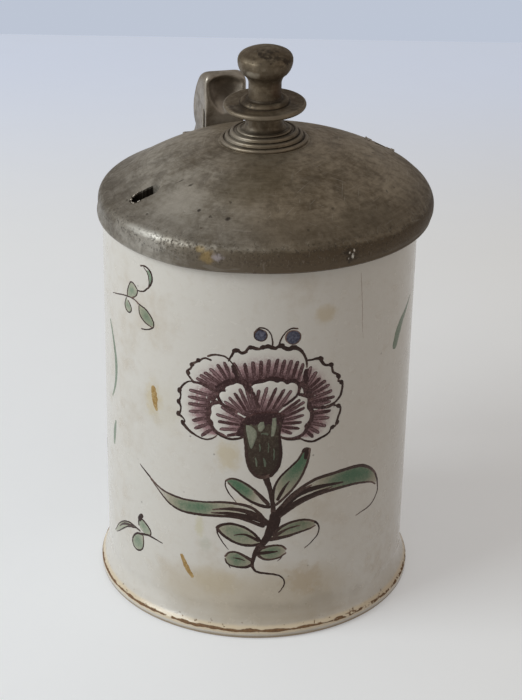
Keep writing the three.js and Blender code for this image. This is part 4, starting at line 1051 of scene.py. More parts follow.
def feather_edges(petals, spread, width):
    """Two fine dark lines along every feathered stroke, closing in a loop at its tip."""
    strokes = []
    for foot, tip in feathered(petals):
        away = (tip - foot) / np.linalg.norm(tip - foot)
        side = np.array((-away[1], away[0])) * spread
        middle = foot + (tip - foot) * 0.55
        strokes.append(((width * 0.8, width, width), [
            foot + side * 0.5, middle + side, tip + side * 0.8, tip + away * spread, tip - side * 0.8,
            middle - side, foot - side * 0.5]))
    return strokes


def moved_off(path, centre, way):
    """Moves the points of a path away from a centre."""
    off = path - np.array(centre)
    return path + off / np.linalg.norm(off, axis=1)[:, None] * way


def petal_washes(petals, heart, inwards):
    """Each petal's purple ground, deep at its base and gone before its white edge."""
    fading = (1.0, 1.0, 0.84, 0.66, 0.5, 0.36, 0.2, 0.08, 0.02, 0.0)
    return [(moved_off(np.array(base), heart, -inwards), edge, fading, (0.95, 1, 1, 0.95))
            for edge, base, _ in petals]


def edge_bands(petals, heart, outwards, widths):
    """Dark bands along petals' scalloped edges, a little outside them as seen from the flower's heart."""
    return [(widths, moved_off(smooth_path(edge, count=9), heart, outwards)) for edge, _, _ in petals]


def arc_line(centre, radius, start, end, count=8):
    return [(centre[0] + radius * math.cos(a), centre[1] + radius * math.sin(a))
            for a in np.linspace(start, end, count)]


def paint_front():
    """Paints the front from the ground up; the numbers are lift, load, unevenness, raggedness and seed."""
    purple, dark, black = "petal_purple", "petal_dark", "manganese"
    brush_lines("grey_strokes", GREY_STROKES, "grey_green", 0.012, 0.7, 0.2, 0.2, 3)
    wash_piece("outer_petals", petal_washes(OUTER_PETALS, OUTER_HEART, 1.6), purple, 0.01)
    brush_lines("outer_feathers", feathers(OUTER_PETALS, 1.3), purple, 0.016, 0.86, 0.3, 0.16, 5)
    brush_lines("outer_feather_edges", feather_edges(OUTER_PETALS, 0.5, 0.34), purple, 0.028, 1.0, 0.15, 0.2, 6)
    bands = edge_bands(INNER_PETALS, OUTER_HEART, 0.45, (1.4, 2.1, 2.3, 2, 1.4))
    brush_lines("petal_shadows", bands + PETAL_SHADOWS, dark, 0.04, 0.95, 0.15, 0.5, 7)
    wash_piece("inner_petals", petal_washes(INNER_PETALS, INNER_HEART, 2.6), purple, 0.046)
    brush_lines("inner_feathers", feathers(INNER_PETALS, 1.25), purple, 0.05, 0.88, 0.3, 0.16, 9)
    brush_lines("inner_feather_edges", feather_edges(INNER_PETALS, 0.46, 0.32), purple, 0.057, 1.0, 0.15, 0.2, 10)
    brush_lines("inner_shadows", INNER_SHADOWS, dark, 0.065, 0.92, 0.15, 0.4, 8)
    wash_piece("flower_heart", [(*HEART, (.85, 1, 1, 1, 1), (.95, 1, 1, .95))], dark, 0.069)
    wash_piece("calyx", [(*CALYX, (1, .93, 1, .95, 1), (.86, .94, 1, 1))], "calyx_brown", 0.072)
    wash_piece("calyx_lobes", [(*lobe, (.95, .75, .95), (.8, .75, .9)) for lobe in CALYX_LOBES], "lobe_green", 0.077)
    brush_lines("calyx_streaks", CALYX_STREAKS, "lobe_green", 0.077, 0.92, 0.3, 0.35, 11)
    washes = [(*leaf[:2], (.75, 1, 1, .9, .8), leaf[2]) for leaf in LEAVES]
    wash_piece("leaves", washes[:8], "leaf_green", 0.012)
    wash_piece("sprig_leaves", washes[8:], "sprig_green", 0.012)
    brush_lines("flower_outlines", FLOWER_OUTLINES + OUTLINE_BLOTS, black, 0.08, 0.96, 0.12, 0.2, 13)
    brush_lines("stem", STEM, black, 0.072, 0.96, 0.05, 0.25, 15)
    outlines = [(widths, edge) for leaf in LEAVES for edge, widths in zip(leaf[:2], leaf[3:])]
    brush_lines("leaf_lines", outlines + LEAF_LINES, black, 0.045, 0.95, 0.2, 0.16, 17)
    buds = [(*(arc_line(*bud, 0.6, 0.6 + half, 9) for half in (math.pi, -math.pi)), (1, .85, 1), (1, .8, 1))
            for bud in BUDS]
    wash_piece("buds", buds, "cobalt", 0.016)
    rims = [((.3, .6, .3), arc_line(*bud, start, start + 3.6)) for bud in BUDS for start in (0.8, 3.9)]
    brush_lines("bud_rims", rims, black, 0.022, 0.8, 0.4, 0.2, 21)
    brush_lines("hairline", HAIRLINE, black, 0.012, 0.5, 0.3, 0.2, 23)
    brush_lines("ochre_dabs", OCHRE_DABS, "ochre", 0.014, 0.85, 0.3, 0.4, 19)


def side_spray(middle, facing, seed):
    """A tall spray beside the handle: a trunk with pairs of long leaves, and tufts of short strokes between them."""
    chance = np.random.default_rng(seed)
    trunk = [(middle + facing * x, z)
             for x, z in ((0, 14), (1, 26), (-.6, 42), (.8, 60), (0, 78), (1.2, 94), (.4, 108))]
    stems, leaves, tufts = [((2.4, 1.6, .5), trunk)], [], []
    for level, z in enumerate(np.arange(22, 104, 9.5)):
        length = 21 - 1.1 * level
        for side in (-1, 1):
            foot = z + (3.5 if side > 0 else 0)
            x, reach = middle, side * length * chance.uniform(.85, 1.05)
            top = foot + length * chance.uniform(.5, .8)
            leaves.append(((.6, 3.5 - .16 * level, .5), [(x, foot), (x + reach * .4, foot + length * .12),
                                                        (x + reach * .8, foot + length * .34), (x + reach, top)]))
            stems.append(((.5, .35, .2), [(x, foot - .4), (x + reach * .42, foot + length * .06),
                                         (x + reach * .84, foot + length * .3), (x + reach * 1.03, top + .6)]))
            for _ in range(4):
                lean_angle = chance.uniform(.5, 1.3)
                start = (x + side * chance.uniform(1, 4), foot + chance.uniform(3.5, 6))
                size = chance.uniform(2, 4)
                tufts.append(((.3, 1, .3), [start, (start[0] + side * size * math.cos(lean_angle),
                                                    start[1] + size * math.sin(lean_angle))]))
    return stems, leaves, tufts


def paint_sides():
    for label, place, facing, seed in (("left", -94, 1, 31), ("right", 96, -1, 37)):
        stems, leaves, tufts = side_spray(place, facing, seed)
        brush_lines(label + "_spray_leaves", leaves, "leaf_green", 0.014, 0.72, 0.4, 0.2, seed)
        brush_lines(label + "_spray_tufts", tufts, "petal_purple", 0.03, 0.8, 0.4, 0.2, seed + 1)
        brush_lines(label + "_spray_stems", stems, "manganese", 0.045, 0.9, 0.2, 0.15, seed + 2)


# Surface groups

SURFACE = [("Colour", "colour"), ("Roughness", "number"), ("Height", "number")]


def wall_place(t):
    """Object coordinates as millimetres: the place, along the wall from the front, height, and radius."""
    place = t.object_place()
    x, y, height = t.split(place)
    away = -FRONT_BEARING - math.pi / 2
    east = t.plus(t.times(x, math.cos(away)), t.times(y, -math.sin(away)))
    north = t.plus(t.times(x, math.sin(away)), t.times(y, math.cos(away)))
    along = t.times(t.math("ARCTAN2", east, t.times(north, -1.0)), float(BODY_RADIUS))
    return place, along, height, t.vector("LENGTH", t.xyz(x, y))


def build_pigment():
    """Colour fired into the glaze: a thin tint that deepens with its load, cloudy where the brush ran dry."""
    t, given, out = new_group("pigment", [
        ("Ground", "colour", GLAZE_COLOUR), ("Thin", "colour", (0.7, 0.6, 0.6)),
        ("Deep", "colour", (0.1, 0.05, 0.06)), ("Load", "number", 1.0), ("Cloud", "number", 0.3),
        ("Grain", "number", 0.2), ("Whitening", "number", 0.0)], [("Colour", "colour")])
    place = t.object_place()
    patch = t.times(t.minus(t.noise(place, 1.3, 4.0, 0.7), 0.5), given["Cloud"])
    bubbles = t.times(t.ramp(t.noise(place, 2.6, 2.0), 0.57, 0.68), given["Grain"])
    load = t.plus(given["Load"], t.times(t.minus(patch, bubbles), t.ramp(given["Load"], 0.0, 0.25)))
    white = t.mix_colour(given["Whitening"], given["Ground"], (0.74, 0.72, 0.68))
    tint = t.mix_colour(t.ramp(load, 0.0, 0.5), (1, 1, 1), given["Thin"])
    tint = t.mix_colour(t.ramp(load, 0.4, 1.0), tint, given["Deep"])
    t.feed(out["Colour"], t.node("ShaderNodeMix", {0: 1.0, 6: white, 7: tint}, data_type="RGBA",
                                 blend_type="MULTIPLY").outputs[2])
    return t.tree


def build_tin_glaze():
    """The glaze itself: clouded greyish white, iron specks, throwing rings and thin spots."""
    t, given, out = new_group("tin_glaze", [
        ("Glaze", "colour", GLAZE_COLOUR), ("Thin Glaze", "colour", (0.45, 0.36, 0.25)),
        ("Cloud", "number", 0.45), ("Specks", "number", 0.5), ("Rings", "number", 0.5)], SURFACE)
    place, along, height, _ = wall_place(t)
    fine = t.noise(place, 0.22)
    mottle = t.plus(t.times(t.noise(place, 0.035, 4.0), 0.7), t.times(fine, 0.3))
    thin = t.plus(t.times(t.ramp(mottle, 0.5, 0.72), given["Cloud"]),
                  t.times(t.ramp(t.noise(place, 0.4, 4.0), 0.5, 0.75), 0.12))
    cells = t.node("ShaderNodeTexVoronoi", {"Vector": place, "Scale": 0.16}, feature="F1").outputs
    dots = t.ramp(cells["Distance"], 0.035, 0.075, 1.0, 0.0)
    rare = t.ramp(t.node("ShaderNodeSeparateColor", {0: cells["Color"]}), 0.55, 0.8)
    specks = t.times(dots, rare, given["Specks"])
    colour = t.mix_colour(thin, given["Glaze"], given["Thin Glaze"])
    rings = t.noise(t.xyz(x=t.times(along, 0.004), z=t.times(height, 0.45)), 1.0, 2.0)
    swell = t.plus(t.times(rings, given["Rings"], 0.35), t.times(t.noise(place, 0.5, 2.0), 0.12))
    t.feed(out["Colour"], t.mix_colour(specks, colour, (0.06, 0.045, 0.035)))
    t.feed(out["Roughness"], t.ramp(fine, 0.3, 0.75, 0.16, 0.3))
    t.feed(out["Height"], t.plus(swell, t.times(specks, -0.15)))
    return t.tree


def build_mark_mask():
    """A soaked-in mark, or a patch of painted light or shade, of some size at some place, with a ragged edge."""
    t, given, out = new_group("stain", [
        ("Place", "vector"), ("Centre", "vector"), ("Size", "vector", (3, 3, 1)),
        ("Raggedness", "number", 0.4)], [("Mask", "number")])
    away = t.vector("DIVIDE", t.vector("SUBTRACT", given["Place"], given["Centre"]), given["Size"])
    width = t.split(given["Size"])[0]
    rag = t.noise(t.vector("ADD", given["Place"], given["Centre"]), t.math("DIVIDE", 1.6, width), 4.0)
    reach = t.plus(t.vector("LENGTH", away), t.times(t.minus(rag, 0.5), t.times(given["Raggedness"], 3.0)))
    t.feed(out["Mask"], t.ramp(reach, 0.4, 1.3, 1.0, 0.0))
    return t.tree


def build_foot_wear():
    """Wear on the foot: a brown line worn through the glaze on its edge, creamy beside it, and unglazed earthenware
    below, darkened there as painted shade along the foot's lower edge.
    """
    t, given, out = new_group("foot_wear", [("Colour", "colour"), ("Roughness", "number", 0.2)],
                              [("Colour", "colour"), ("Roughness", "number"), ("Bare", "number")])
    place, along, height, _ = wall_place(t)
    waver = t.minus(t.noise(place, 0.16, 4.0), 0.5)
    level = t.plus(height, waver)
    creamy = t.times(t.ramp(level, 1.5, 2.5), t.ramp(level, 3.8, 5.0, 1.0, 0.0), 0.95)
    colour = t.mix_colour(creamy, given["Colour"], (0.72, 0.6, 0.43))
    thick = t.ramp(t.noise(place, 0.12), 0.3, 0.7, 0.08, 0.62)
    dotted = t.times(t.ramp(along, 22.0, 30.0), t.ramp(t.noise(place, 0.45, 2.0), 0.44, 0.52, 1.0, 0.0))
    gap = t.times(t.ramp(t.noise(place, 0.09), 0.35, 0.39), t.minus(1.0, dotted))
    off = t.math("ABSOLUTE", t.minus(level, 3.1))
    worn = t.times(t.ramp(t.minus(thick, off), -0.12, 0.1), gap)
    chips = t.times(t.ramp(t.noise(place, 0.9, 2.0), 0.66, 0.7), t.ramp(level, 2.2, 3.0),
                    t.ramp(level, 4.0, 6.5, 1.0, 0.0), 0.8)
    worn = t.math("MAXIMUM", worn, chips)
    brown = t.mix_colour(t.noise(place, 1.2, 2.0), (0.075, 0.036, 0.014), (0.28, 0.15, 0.065))
    # Unglazed earthenware at the bottom, made darker as painted shade along the foot's lower edge.
    clay_and_foot_shade = t.ramp(t.plus(height, t.times(waver, 0.3)), 0.9, 1.7, 1.0, 0.0)
    buff = t.mix_colour(t.noise(place, 0.5, 4.0), (0.34, 0.25, 0.17), (0.48, 0.39, 0.28))
    bare = t.math("MAXIMUM", worn, clay_and_foot_shade)
    t.feed(out["Colour"], t.mix_colour(clay_and_foot_shade, t.mix_colour(worn, colour, brown), buff))
    t.feed(out["Roughness"], t.plus(given["Roughness"], t.times(bare, 0.5)))
    t.feed(out["Bare"], bare)
    return t.tree


def build_old_pewter():
    """Old pewter: brown patina over grey metal, rubbed ridges, dark grooves, turning lines, scratches and pits."""
    t, given, out = new_group("old_pewter", [
        ("Metal", "colour", (0.3, 0.26, 0.2)), ("Patina", "colour", (0.12, 0.09, 0.06)),
        ("Rubbed", "colour", (0.5, 0.46, 0.4)), ("Patina Share", "number", 0.5), ("Proud", "number", 0.0),
        ("Turning", "number", 0.5), ("Pits", "number", 0.5), ("Speckle", "number", 0.0),
        ("Scratches", "number", 0.5), ("Rub", "number", 0.6)], SURFACE)
    place = t.object_place()
    x, y, height = t.split(t.vector("SUBTRACT", place, (LID_SHIFT, 0, 0)))
    radius = t.vector("LENGTH", t.xyz(x, y))
    broad = t.noise(place, 0.05, 5.0, 0.6)
    fine = t.noise(place, 0.5, 4.0, 0.6)
    across = t.xyz(t.times(radius, 1.4), t.times(broad, 3.0), t.times(height, 1.4))
    lines = t.times(t.noise(across, 1.0, 4.0, 0.7), given["Turning"])
    cover = t.plus(t.times(broad, 0.6), t.times(fine, 0.4),
                   t.times(t.minus(lines, t.times(given["Turning"], 0.5)), 0.5))
    share = t.ramp(t.plus(cover, t.minus(given["Patina Share"], 0.5)), 0.3, 0.72)
    colour = t.mix_colour(share, given["Metal"], given["Patina"])
    smudge = t.ramp(t.noise(place, 0.15, 5.0, 0.65, 0.6), 0.44, 0.68)
    colour = t.mix_colour(t.times(smudge, 0.42), colour, (0.055, 0.04, 0.024))
    rubbed = t.ramp(t.plus(given["Proud"], t.times(t.minus(fine, 0.5), 0.5)), 0.2, 0.75)
    colour = t.mix_colour(t.times(rubbed, given["Rub"]), colour, given["Rubbed"])
    colour = t.mix_colour(t.times(t.ramp(given["Proud"], -0.15, -0.6), 0.75), colour, (0.035, 0.026, 0.018))
    # Painted shade: where a surface is noted very deep, as on the slots' cut walls, it turns near black.
    colour = t.mix_colour(t.ramp(given["Proud"], -1.2, -1.8), colour, (0.012, 0.009, 0.006))
    crooked = t.vector("ADD", place, t.scaled(t.noise_node(place, 0.9, 2.0).outputs["Color"], 1.5))
    cells = t.node("ShaderNodeTexVoronoi", {"Vector": crooked, "Scale": 0.3}, feature="F1").outputs
    rare = t.node("ShaderNodeSeparateColor", {0: cells["Color"]}).outputs
    pits = t.times(t.ramp(t.minus(cells["Distance"], t.times(rare[1], 0.1)), 0.0, 0.12, 1.0, 0.0),
                   t.ramp(rare[0], 0.52, 0.85), given["Pits"])
    grains = t.times(t.ramp(t.noise(place, 1.1, 4.0, 0.75), 0.5, 0.66), given["Speckle"])
    pits = t.math("MAXIMUM", pits, grains)
    glints = t.times(t.ramp(t.noise(place, 1.7, 3.0, 0.7), 0.58, 0.68), given["Speckle"])
    scratches = []
    for bearing, offset in ((0.5, 0.0), (-0.7, 31.0), (1.9, 57.0)):
        turned = t.node("ShaderNodeVectorRotate", {0: place, 3: bearing}, rotation_type="Z_AXIS")
        long = t.vector("ADD", t.vector("MULTIPLY", turned, (0.06, 1.9, 0.4)), (offset, offset, 0))
        scratches.append(t.ramp(t.noise(long, 1.0, 1.0), 0.71, 0.76))
    scratch = t.times(functools.reduce(functools.partial(t.math, "MAXIMUM"), scratches), given["Scratches"])
    colour = t.mix_colour(t.times(pits, 0.85), colour, (0.025, 0.019, 0.013))
    bright = t.math("MAXIMUM", t.times(scratch, 0.45), t.times(glints, 0.4))
    relief = t.plus(t.times(lines, 0.2), t.times(t.noise(place, 2.2), 0.14), t.times(fine, 0.22))
    relief = t.minus(t.minus(relief, t.times(pits, 0.6)), t.times(scratch, 0.14))
    rough = t.plus(t.ramp(share, 0.0, 1.0, 0.36, 0.52), t.times(fine, 0.1))
    t.feed(out["Colour"], t.mix_colour(bright, colour, given["Rubbed"]))
    t.feed(out["Roughness"], t.minus(rough, t.times(rubbed, 0.12)))
    t.feed(out["Height"], relief)
    return t.tree


TIN_GLAZE = build_tin_glaze()
OLD_PEWTER = build_old_pewter()
MARK_MASK = build_mark_mask()
FOOT_WEAR = build_foot_wear()
PIGMENT = build_pigment()


# Materials

def new_material(name):
    material = bpy.data.materials.new(name)
    material.use_nodes = True
    return material, Tree(material.node_tree), material.node_tree.nodes["Principled BSDF"].inputs


def lay_surface(t, shader, surface, depth, coat=None, **other):
    """Feeds the shader a surface whose height stands out by millimetres, with a clear coat on glaze."""
    colour, roughness, height = (other[name] if name in other else surface[name]
                                 for name in ("Colour", "Roughness", "Height"))
    t.feed(shader["Base Color"], colour)
    t.feed(shader["Roughness"], roughness)
    t.feed(shader["Normal"], t.node("ShaderNodeBump", {"Strength": 1.0, "Distance": depth * MM, "Height": height}))
    if coat is not None:
        t.feed(shader["Coat Weight"], coat)
        t.feed(shader["Coat Roughness"], 0.08)


def mark_up(t, place, colour, marks, share=1.0):
    """Lays a list of marks over a colour, within a mask."""
    for centre, size, ragged, strength, tone in marks:
        mask = use_group(t, MARK_MASK, Place=place, Centre=centre, Size=size, Raggedness=ragged)["Mask"]
        colour = t.mix_colour(t.times(mask, strength, share), colour, tone)
    return colour


def pigment_material(name, thin, deep, cloud=0.3, grain=0.1, whitening=0.0):
    material, t, shader = new_material(name)
    surface = use_group(t, TIN_GLAZE, Glaze=GLAZE_COLOUR)
    colour = use_group(t, PIGMENT, Ground=surface["Colour"], Thin=thin, Deep=deep, Load=t.noted("load"), Cloud=cloud,
                       Grain=grain, Whitening=whitening)["Colour"]
    t.feed(shader["Specular IOR Level"], 0.2)
    lay_surface(t, shader, surface, 0.25, 0.03, Colour=colour)
    return material


# Old stains on the wall, with painted light on the left and painted shade on the right: (along, height), (width,
# height), raggedness, strength and colour
WALL_STAINS_AND_SHADING = [
    ((21.6, 114), (3.8, 3.2), 0.35, 0.5, (0.5, 0.38, 0.2)),
    ((-8.2, 66.4), (4, 5.4), 0.45, 0.5, (0.53, 0.42, 0.22)),
    ((-35, 80), (3.6, 6), 0.5, 0.5, (0.55, 0.42, 0.18)),
    ((-31, 79), (8, 9), 0.6, 0.22, (0.54, 0.48, 0.34)),
    ((2, 14), (34, 12), 0.5, 0.5, (0.44, 0.34, 0.2)),
    ((16, 8), (22, 6), 0.8, 0.5, (0.4, 0.34, 0.26)),
    ((-14, 7), (16, 4), 0.4, 0.3, (0.4, 0.36, 0.3)),
    ((-12, 20), (10, 4.5), 0.8, 0.35, (0.5, 0.4, 0.24)),
    ((17, 20), (6, 6), 0.8, 0.5, (0.44, 0.33, 0.2)),
    ((-15.5, 33), (2.2, 2.8), 0.4, 0.35, (0.42, 0.43, 0.34)),
    ((-17.6, 39), (1.6, 4), 0.5, 0.4, (0.5, 0.45, 0.22)),
    ((-3, 48.6), (7, 3.4), 0.5, 0.25, (0.55, 0.42, 0.25)),
    # Painted shade: a broad, warm darkening right of the flower.
    ((30, 60), (22, 30), 0.5, 0.14, (0.5, 0.41, 0.3)),
    # Painted light: a broad cool tint on the left, where the bluish window light falls.
    ((-42, 60), (12, 40), 0.5, 0.12, (0.6, 0.6, 0.58)),
    ((90, 95), (14, 9), 0.5, 0.35, (0.5, 0.38, 0.2)),
    ((-95, 40), (10, 12), 0.5, 0.35, (0.5, 0.4, 0.22)),
]


def body_material():
    """The jug's own glaze, with the old marks soaked into it, cool painted light on its left and painted shade on its
    right, and the wear on its foot.
    """
    material, t, shader = new_material("jug_glaze")
    surface = use_group(t, TIN_GLAZE, Glaze=GLAZE_COLOUR)
    _, along, height, radius = wall_place(t)
    outside = t.ramp(radius, BODY_RADIUS - 2.6, BODY_RADIUS - 2.2)
    stains_and_shading = [((*place, 0), (*size, 1), *look) for place, size, *look in WALL_STAINS_AND_SHADING]
    colour = mark_up(t, t.xyz(along, height), surface["Colour"], stains_and_shading, outside)
    worn = use_group(t, FOOT_WEAR, Colour=colour, Roughness=surface["Roughness"])
    lay_surface(t, shader, worn, 0.25, t.times(t.minus(1.0, worn["Bare"]), 0.25),
                Height=t.minus(surface["Height"], t.times(worn["Bare"], 0.6)))
    return material


def handle_material(spacing=9.0):
    """The handle's glaze with brush dashes across its back."""
    material, t, shader = new_material("handle_glaze")
    surface = use_group(t, TIN_GLAZE, Glaze=GLAZE_COLOUR)
    place = t.object_place()
    across, lengthwise, outer = t.split(place)[0], t.noted("lengthwise"), t.noted("outer")
    ragged = t.times(t.minus(t.noise(place, 0.8), 0.5), 1.4)
    beat = t.times(t.plus(lengthwise, t.times(across, 0.22), ragged), 1 / spacing)
    off = t.times(t.math("ABSOLUTE", t.minus(t.math("FRACT", beat), 0.5)), spacing)
    lengths = t.times(t.math("SINE", t.times(t.math("FLOOR", beat), 2.3)), 0.8)
    reach = t.plus(t.math("ABSOLUTE", across), lengths)
    dash = t.times(
        t.ramp(t.minus(t.ramp(reach, 1.0, 6.6, 1.15, 0.1), off), 0.0, 0.3), t.ramp(outer, 0.1, 0.3),
        t.ramp(reach, 6.2, 6.8, 1.0, 0.0), t.ramp(lengthwise, 13.0, 15.0), t.ramp(lengthwise, 118.0, 121.0, 1.0, 0.0),
        t.ramp(t.noise(place, 1.3), 0.3, 0.6, 0.7, 1.0))
    lay_surface(t, shader, surface, 0.25, 0.25, Colour=t.mix_colour(dash, surface["Colour"], (0.045, 0.028, 0.034)))
    return material


DIRT = (0.03, 0.022, 0.016)
SOOT = (0.05, 0.04, 0.03)

# Marks on the lid: (radius, bearing, height), size, raggedness, strength and colour
LID_MARKS = [
    # Painted reflections: yellow and lilac spots on the skirt at the front left.
    ((54.4, -123.4, 134.2), (2.6, 2.6, 2.2), 0.5, 0.5, (0.36, 0.24, 0.08)),
    ((53.8, -126, 136.4), (1.8, 1.8, 1.2), 0.5, 0.5, (0.32, 0.23, 0.1)),
    ((54.2, -120, 134.6), (2, 2, 1.3), 0.5, 0.6, (0.4, 0.35, 0.36)),
    # A chip with dark dirt round it, and painted glints: bright dots on and beside it.
    ((54.2, -76.4, 134.2), (2, 2, 2.3), 1, 0.7, (0.035, 0.026, 0.018)),
    ((54.2, -75.8, 133.8), (0.5, 0.5, 0.9), 0.6, 0.95, (0.72, 0.69, 0.62)),
    ((54.2, -76.9, 135), (0.35, 0.35, 0.35), 0.5, 0.9, (0.75, 0.7, 0.62)),
    ((54.2, -75.2, 135.4), (0.3, 0.3, 0.5), 0.5, 0.9, (0.75, 0.7, 0.62)),
    ((54.2, -77.3, 133.2), (0.3, 0.3, 0.4), 0.5, 0.9, (0.7, 0.65, 0.57)),
    ((43.6, -119.4, 143), (0.95, 0.75, 1.2), 0.4, 0.9, DIRT),
    ((42, -132.9, 143.9), (0.7, 0.6, 1.2), 0.4, 0.9, DIRT),
    ((49.4, -71.9, 139.8), (1, 0.5, 1.2), 0.4, 0.9, DIRT),
    ((54.2, -143.3, 134.4), (0.7, 0.7, 1.6), 0.4, 0.8, (0.04, 0.04, 0.04)),
    # Painted highlights: a long light patch on the dome's left and a broad one on its shoulder.
    ((41.6, -144.5, 144.2), (10, 5.5, 4), 0.5, 0.4, (0.5, 0.46, 0.4)),
    ((53.5, -149, 136.6), (10, 8, 1.3), 0.5, 0.35, (0.55, 0.53, 0.49)),
    ((30, -112, 149.5), (13, 10, 7), 0.35, 0.4, (0.11, 0.085, 0.045)),
    ((47, -95, 141), (16, 6, 4), 0.4, 0.2, (0.09, 0.065, 0.04)),
    ((46, -62, 141), (12, 8, 5), 0.4, 0.35, (0.09, 0.07, 0.045)),
    ((36.7, -166.3, 146.6), (0.35, 2.6, 1), 0.5, 0.6, SOOT),
    ((34.6, -155, 147.4), (2.6, 0.35, 1), 0.5, 0.7, SOOT),
    ((34.2, -146.5, 147.6), (0.9, 0.5, 1), 0.5, 0.8, SOOT),
    ((52, 60, 137.6), (7, 7, 2.4), 0.5, 0.5, (0.36, 0.27, 0.12)),
    ((40, 30, 144.6), (9, 5, 3), 0.4, 0.3, (0.44, 0.41, 0.36)),
]

# Painted shade in the hollow for the thumb, painted light on the thumbpiece's lower front, and darker patches under
# the strap and at the hinge
MOUNT_MARKS = [
    # Painted shade in the hollow for the thumb.
    ((0, 48, 154.5), (6, 3.4, 6), 0.5, 0.7, (0.075, 0.058, 0.042)),
    # Painted light on the thumbpiece's lower front.
    ((1, 49, 147), (7, 5, 5), 0.4, 0.75, (0.5, 0.455, 0.4)),
    ((0, 59, 141), (9, 6, 3), 0.6, 0.6, (0.07, 0.055, 0.04)),
    ((0, 61, 129), (12, 7, 2), 0.7, 0.6, (0.06, 0.048, 0.035)),
]

# Pitted patches and stains on the knop, and painted highlights and painted light on its left
KNOP_MARKS = [
    ((4.6, -95, 181.4), (3.4, 2.8, 2.8), 1.3, 0.85, (0.03, 0.02, 0.013)),
    ((6.6, -60, 180), (2.6, 2.4, 2), 1.2, 0.8, (0.03, 0.02, 0.013)),
    ((9.5, -160, 166.2), (4.4, 4.4, 1.6), 0.8, 0.8, (0.035, 0.024, 0.015)),
    ((9.5, -45, 166.2), (4, 4, 1.6), 1, 0.6, (0.04, 0.028, 0.017)),
    ((8.2, -150, 173), (2, 2, 5), 1, 0.6, (0.04, 0.028, 0.017)),
    # Painted highlight at the lower left of the head.
    ((7.8, -135, 176.6), (2.2, 2.8, 1.2), 0.4, 0.5, (0.5, 0.45, 0.37)),
    ((5.4, -60, 170.5), (2.6, 2.6, 3), 0.6, 0.5, (0.085, 0.045, 0.025)),
    ((9.6, -88, 166.6), (4, 2.4, 1.2), 0.6, 0.5, (0.09, 0.05, 0.028)),
    # Painted highlight on the plate's left rim, and painted light on the rings below it at the left.
    ((12.2, -172, 166.8), (2.4, 5, 1.4), 0.4, 0.7, (0.7, 0.65, 0.58)),
    ((11, -165, 156.5), (6, 7, 5), 0.5, 0.5, (0.42, 0.375, 0.31)),
]


def on_lid(marks):
    """Turns marks' places on the lid from distance to its axis, bearing and height into x, y and z."""
    return [((LID_SHIFT + radius * math.cos(math.radians(bearing)), radius * math.sin(math.radians(bearing)), height),
             *look) for (radius, bearing, height), *look in marks]


def pewter_material(name, marks, **look):
    material, t, shader = new_material(name)
    surface = use_group(t, OLD_PEWTER, Proud=t.noted("proud"), **look)
    t.feed(shader["Metallic"], 0.7)
    lay_surface(t, shader, surface, 0.15, Colour=mark_up(t, t.object_place(), surface["Colour"], marks))
    return material


def lid_material():
    """The lid's pewter: lighter and greyer on its left as painted light from the window, browner at the crown, dark
    and speckled on its skirt, and darker there but for its far left as painted shade.
    """
    material, t, shader = new_material("lid_pewter")
    place = t.object_place()
    x, _, height = t.split(place)
    waver = t.times(t.minus(t.noise(place, 0.12, 4.0), 0.5), 14.0)
    # Painted light: the left side, where the window light falls, gets lighter, greyer metal and patina.
    window_lit_side = t.ramp(t.plus(x, waver), -2.0, -34.0)
    level = t.plus(height, t.times(waver, 0.12))
    # Darker patina on the skirt, and painted shade there: the skirt is darkened all round but on its far left, where
    # the window light falls.
    skirt_patina_and_shade = t.times(t.ramp(level, 137.6, 135.2), t.ramp(x, -42.0, -20.0))
    surface = use_group(
        t, OLD_PEWTER, Proud=t.noted("proud"), Turning=0.4, Pits=0.7, Scratches=0.6, Rub=0.5,
        Metal=t.mix_colour(window_lit_side, (0.36, 0.3, 0.22), (0.53, 0.495, 0.435)),
        Patina=t.mix_colour(window_lit_side, (0.125, 0.092, 0.056), (0.2, 0.17, 0.13)),
        Patina_Share=t.plus(0.5, t.times(skirt_patina_and_shade, 0.4)),
        Speckle=t.times(t.ramp(level, 140.5, 137.0), 0.85, t.ramp(level, 131.0, 133.0)))
    colour = t.mix_colour(t.times(t.ramp(level, 147.0, 139.5), 0.36), surface["Colour"], (0.06, 0.045, 0.03))
    colour = t.mix_colour(t.times(skirt_patina_and_shade, 0.3), colour, (0.12, 0.085, 0.055))
    t.feed(shader["Metallic"], 0.7)
    lay_surface(t, shader, surface, 0.15, Colour=mark_up(t, place, colour, on_lid(LID_MARKS)))
    return material


# Handle

def bezier(p0, p1, p2, p3, t):
    s = 1 - t
    return s ** 3 * p0 + 3 * s * s * t * p1 + 3 * s * t * t * p2 + t ** 3 * p3


def handle_path(count):
    """Points along the handle's centre line, evenly spaced, as (y, z) in millimetres."""
    wall = BODY_RADIUS - HANDLE_ROOT_DEPTH
    far = BODY_RADIUS + HANDLE_REACH
    top = BODY_HEIGHT - HANDLE_TOP_DROP
    tip = HANDLE_TIP_HEIGHT
    belly = (top + tip) / 2 + 16
    upper = [np.array(p, float) for p in ((wall, top), (wall + 15, top + 11), (far, top + 11), (far, belly))]
    lower = [np.array(p, float) for p in ((far, belly), (far, belly - 0.65 * (belly - tip)),
                                          (wall + 22, tip + 9), (wall, tip))]
    fine = np.array([bezier(*upper, i / 400) for i in range(400)] + [bezier(*lower, i / 400) for i in range(401)])
    way = walked(fine)
    return points_at(fine, way, np.linspace(0, way[-1], count))


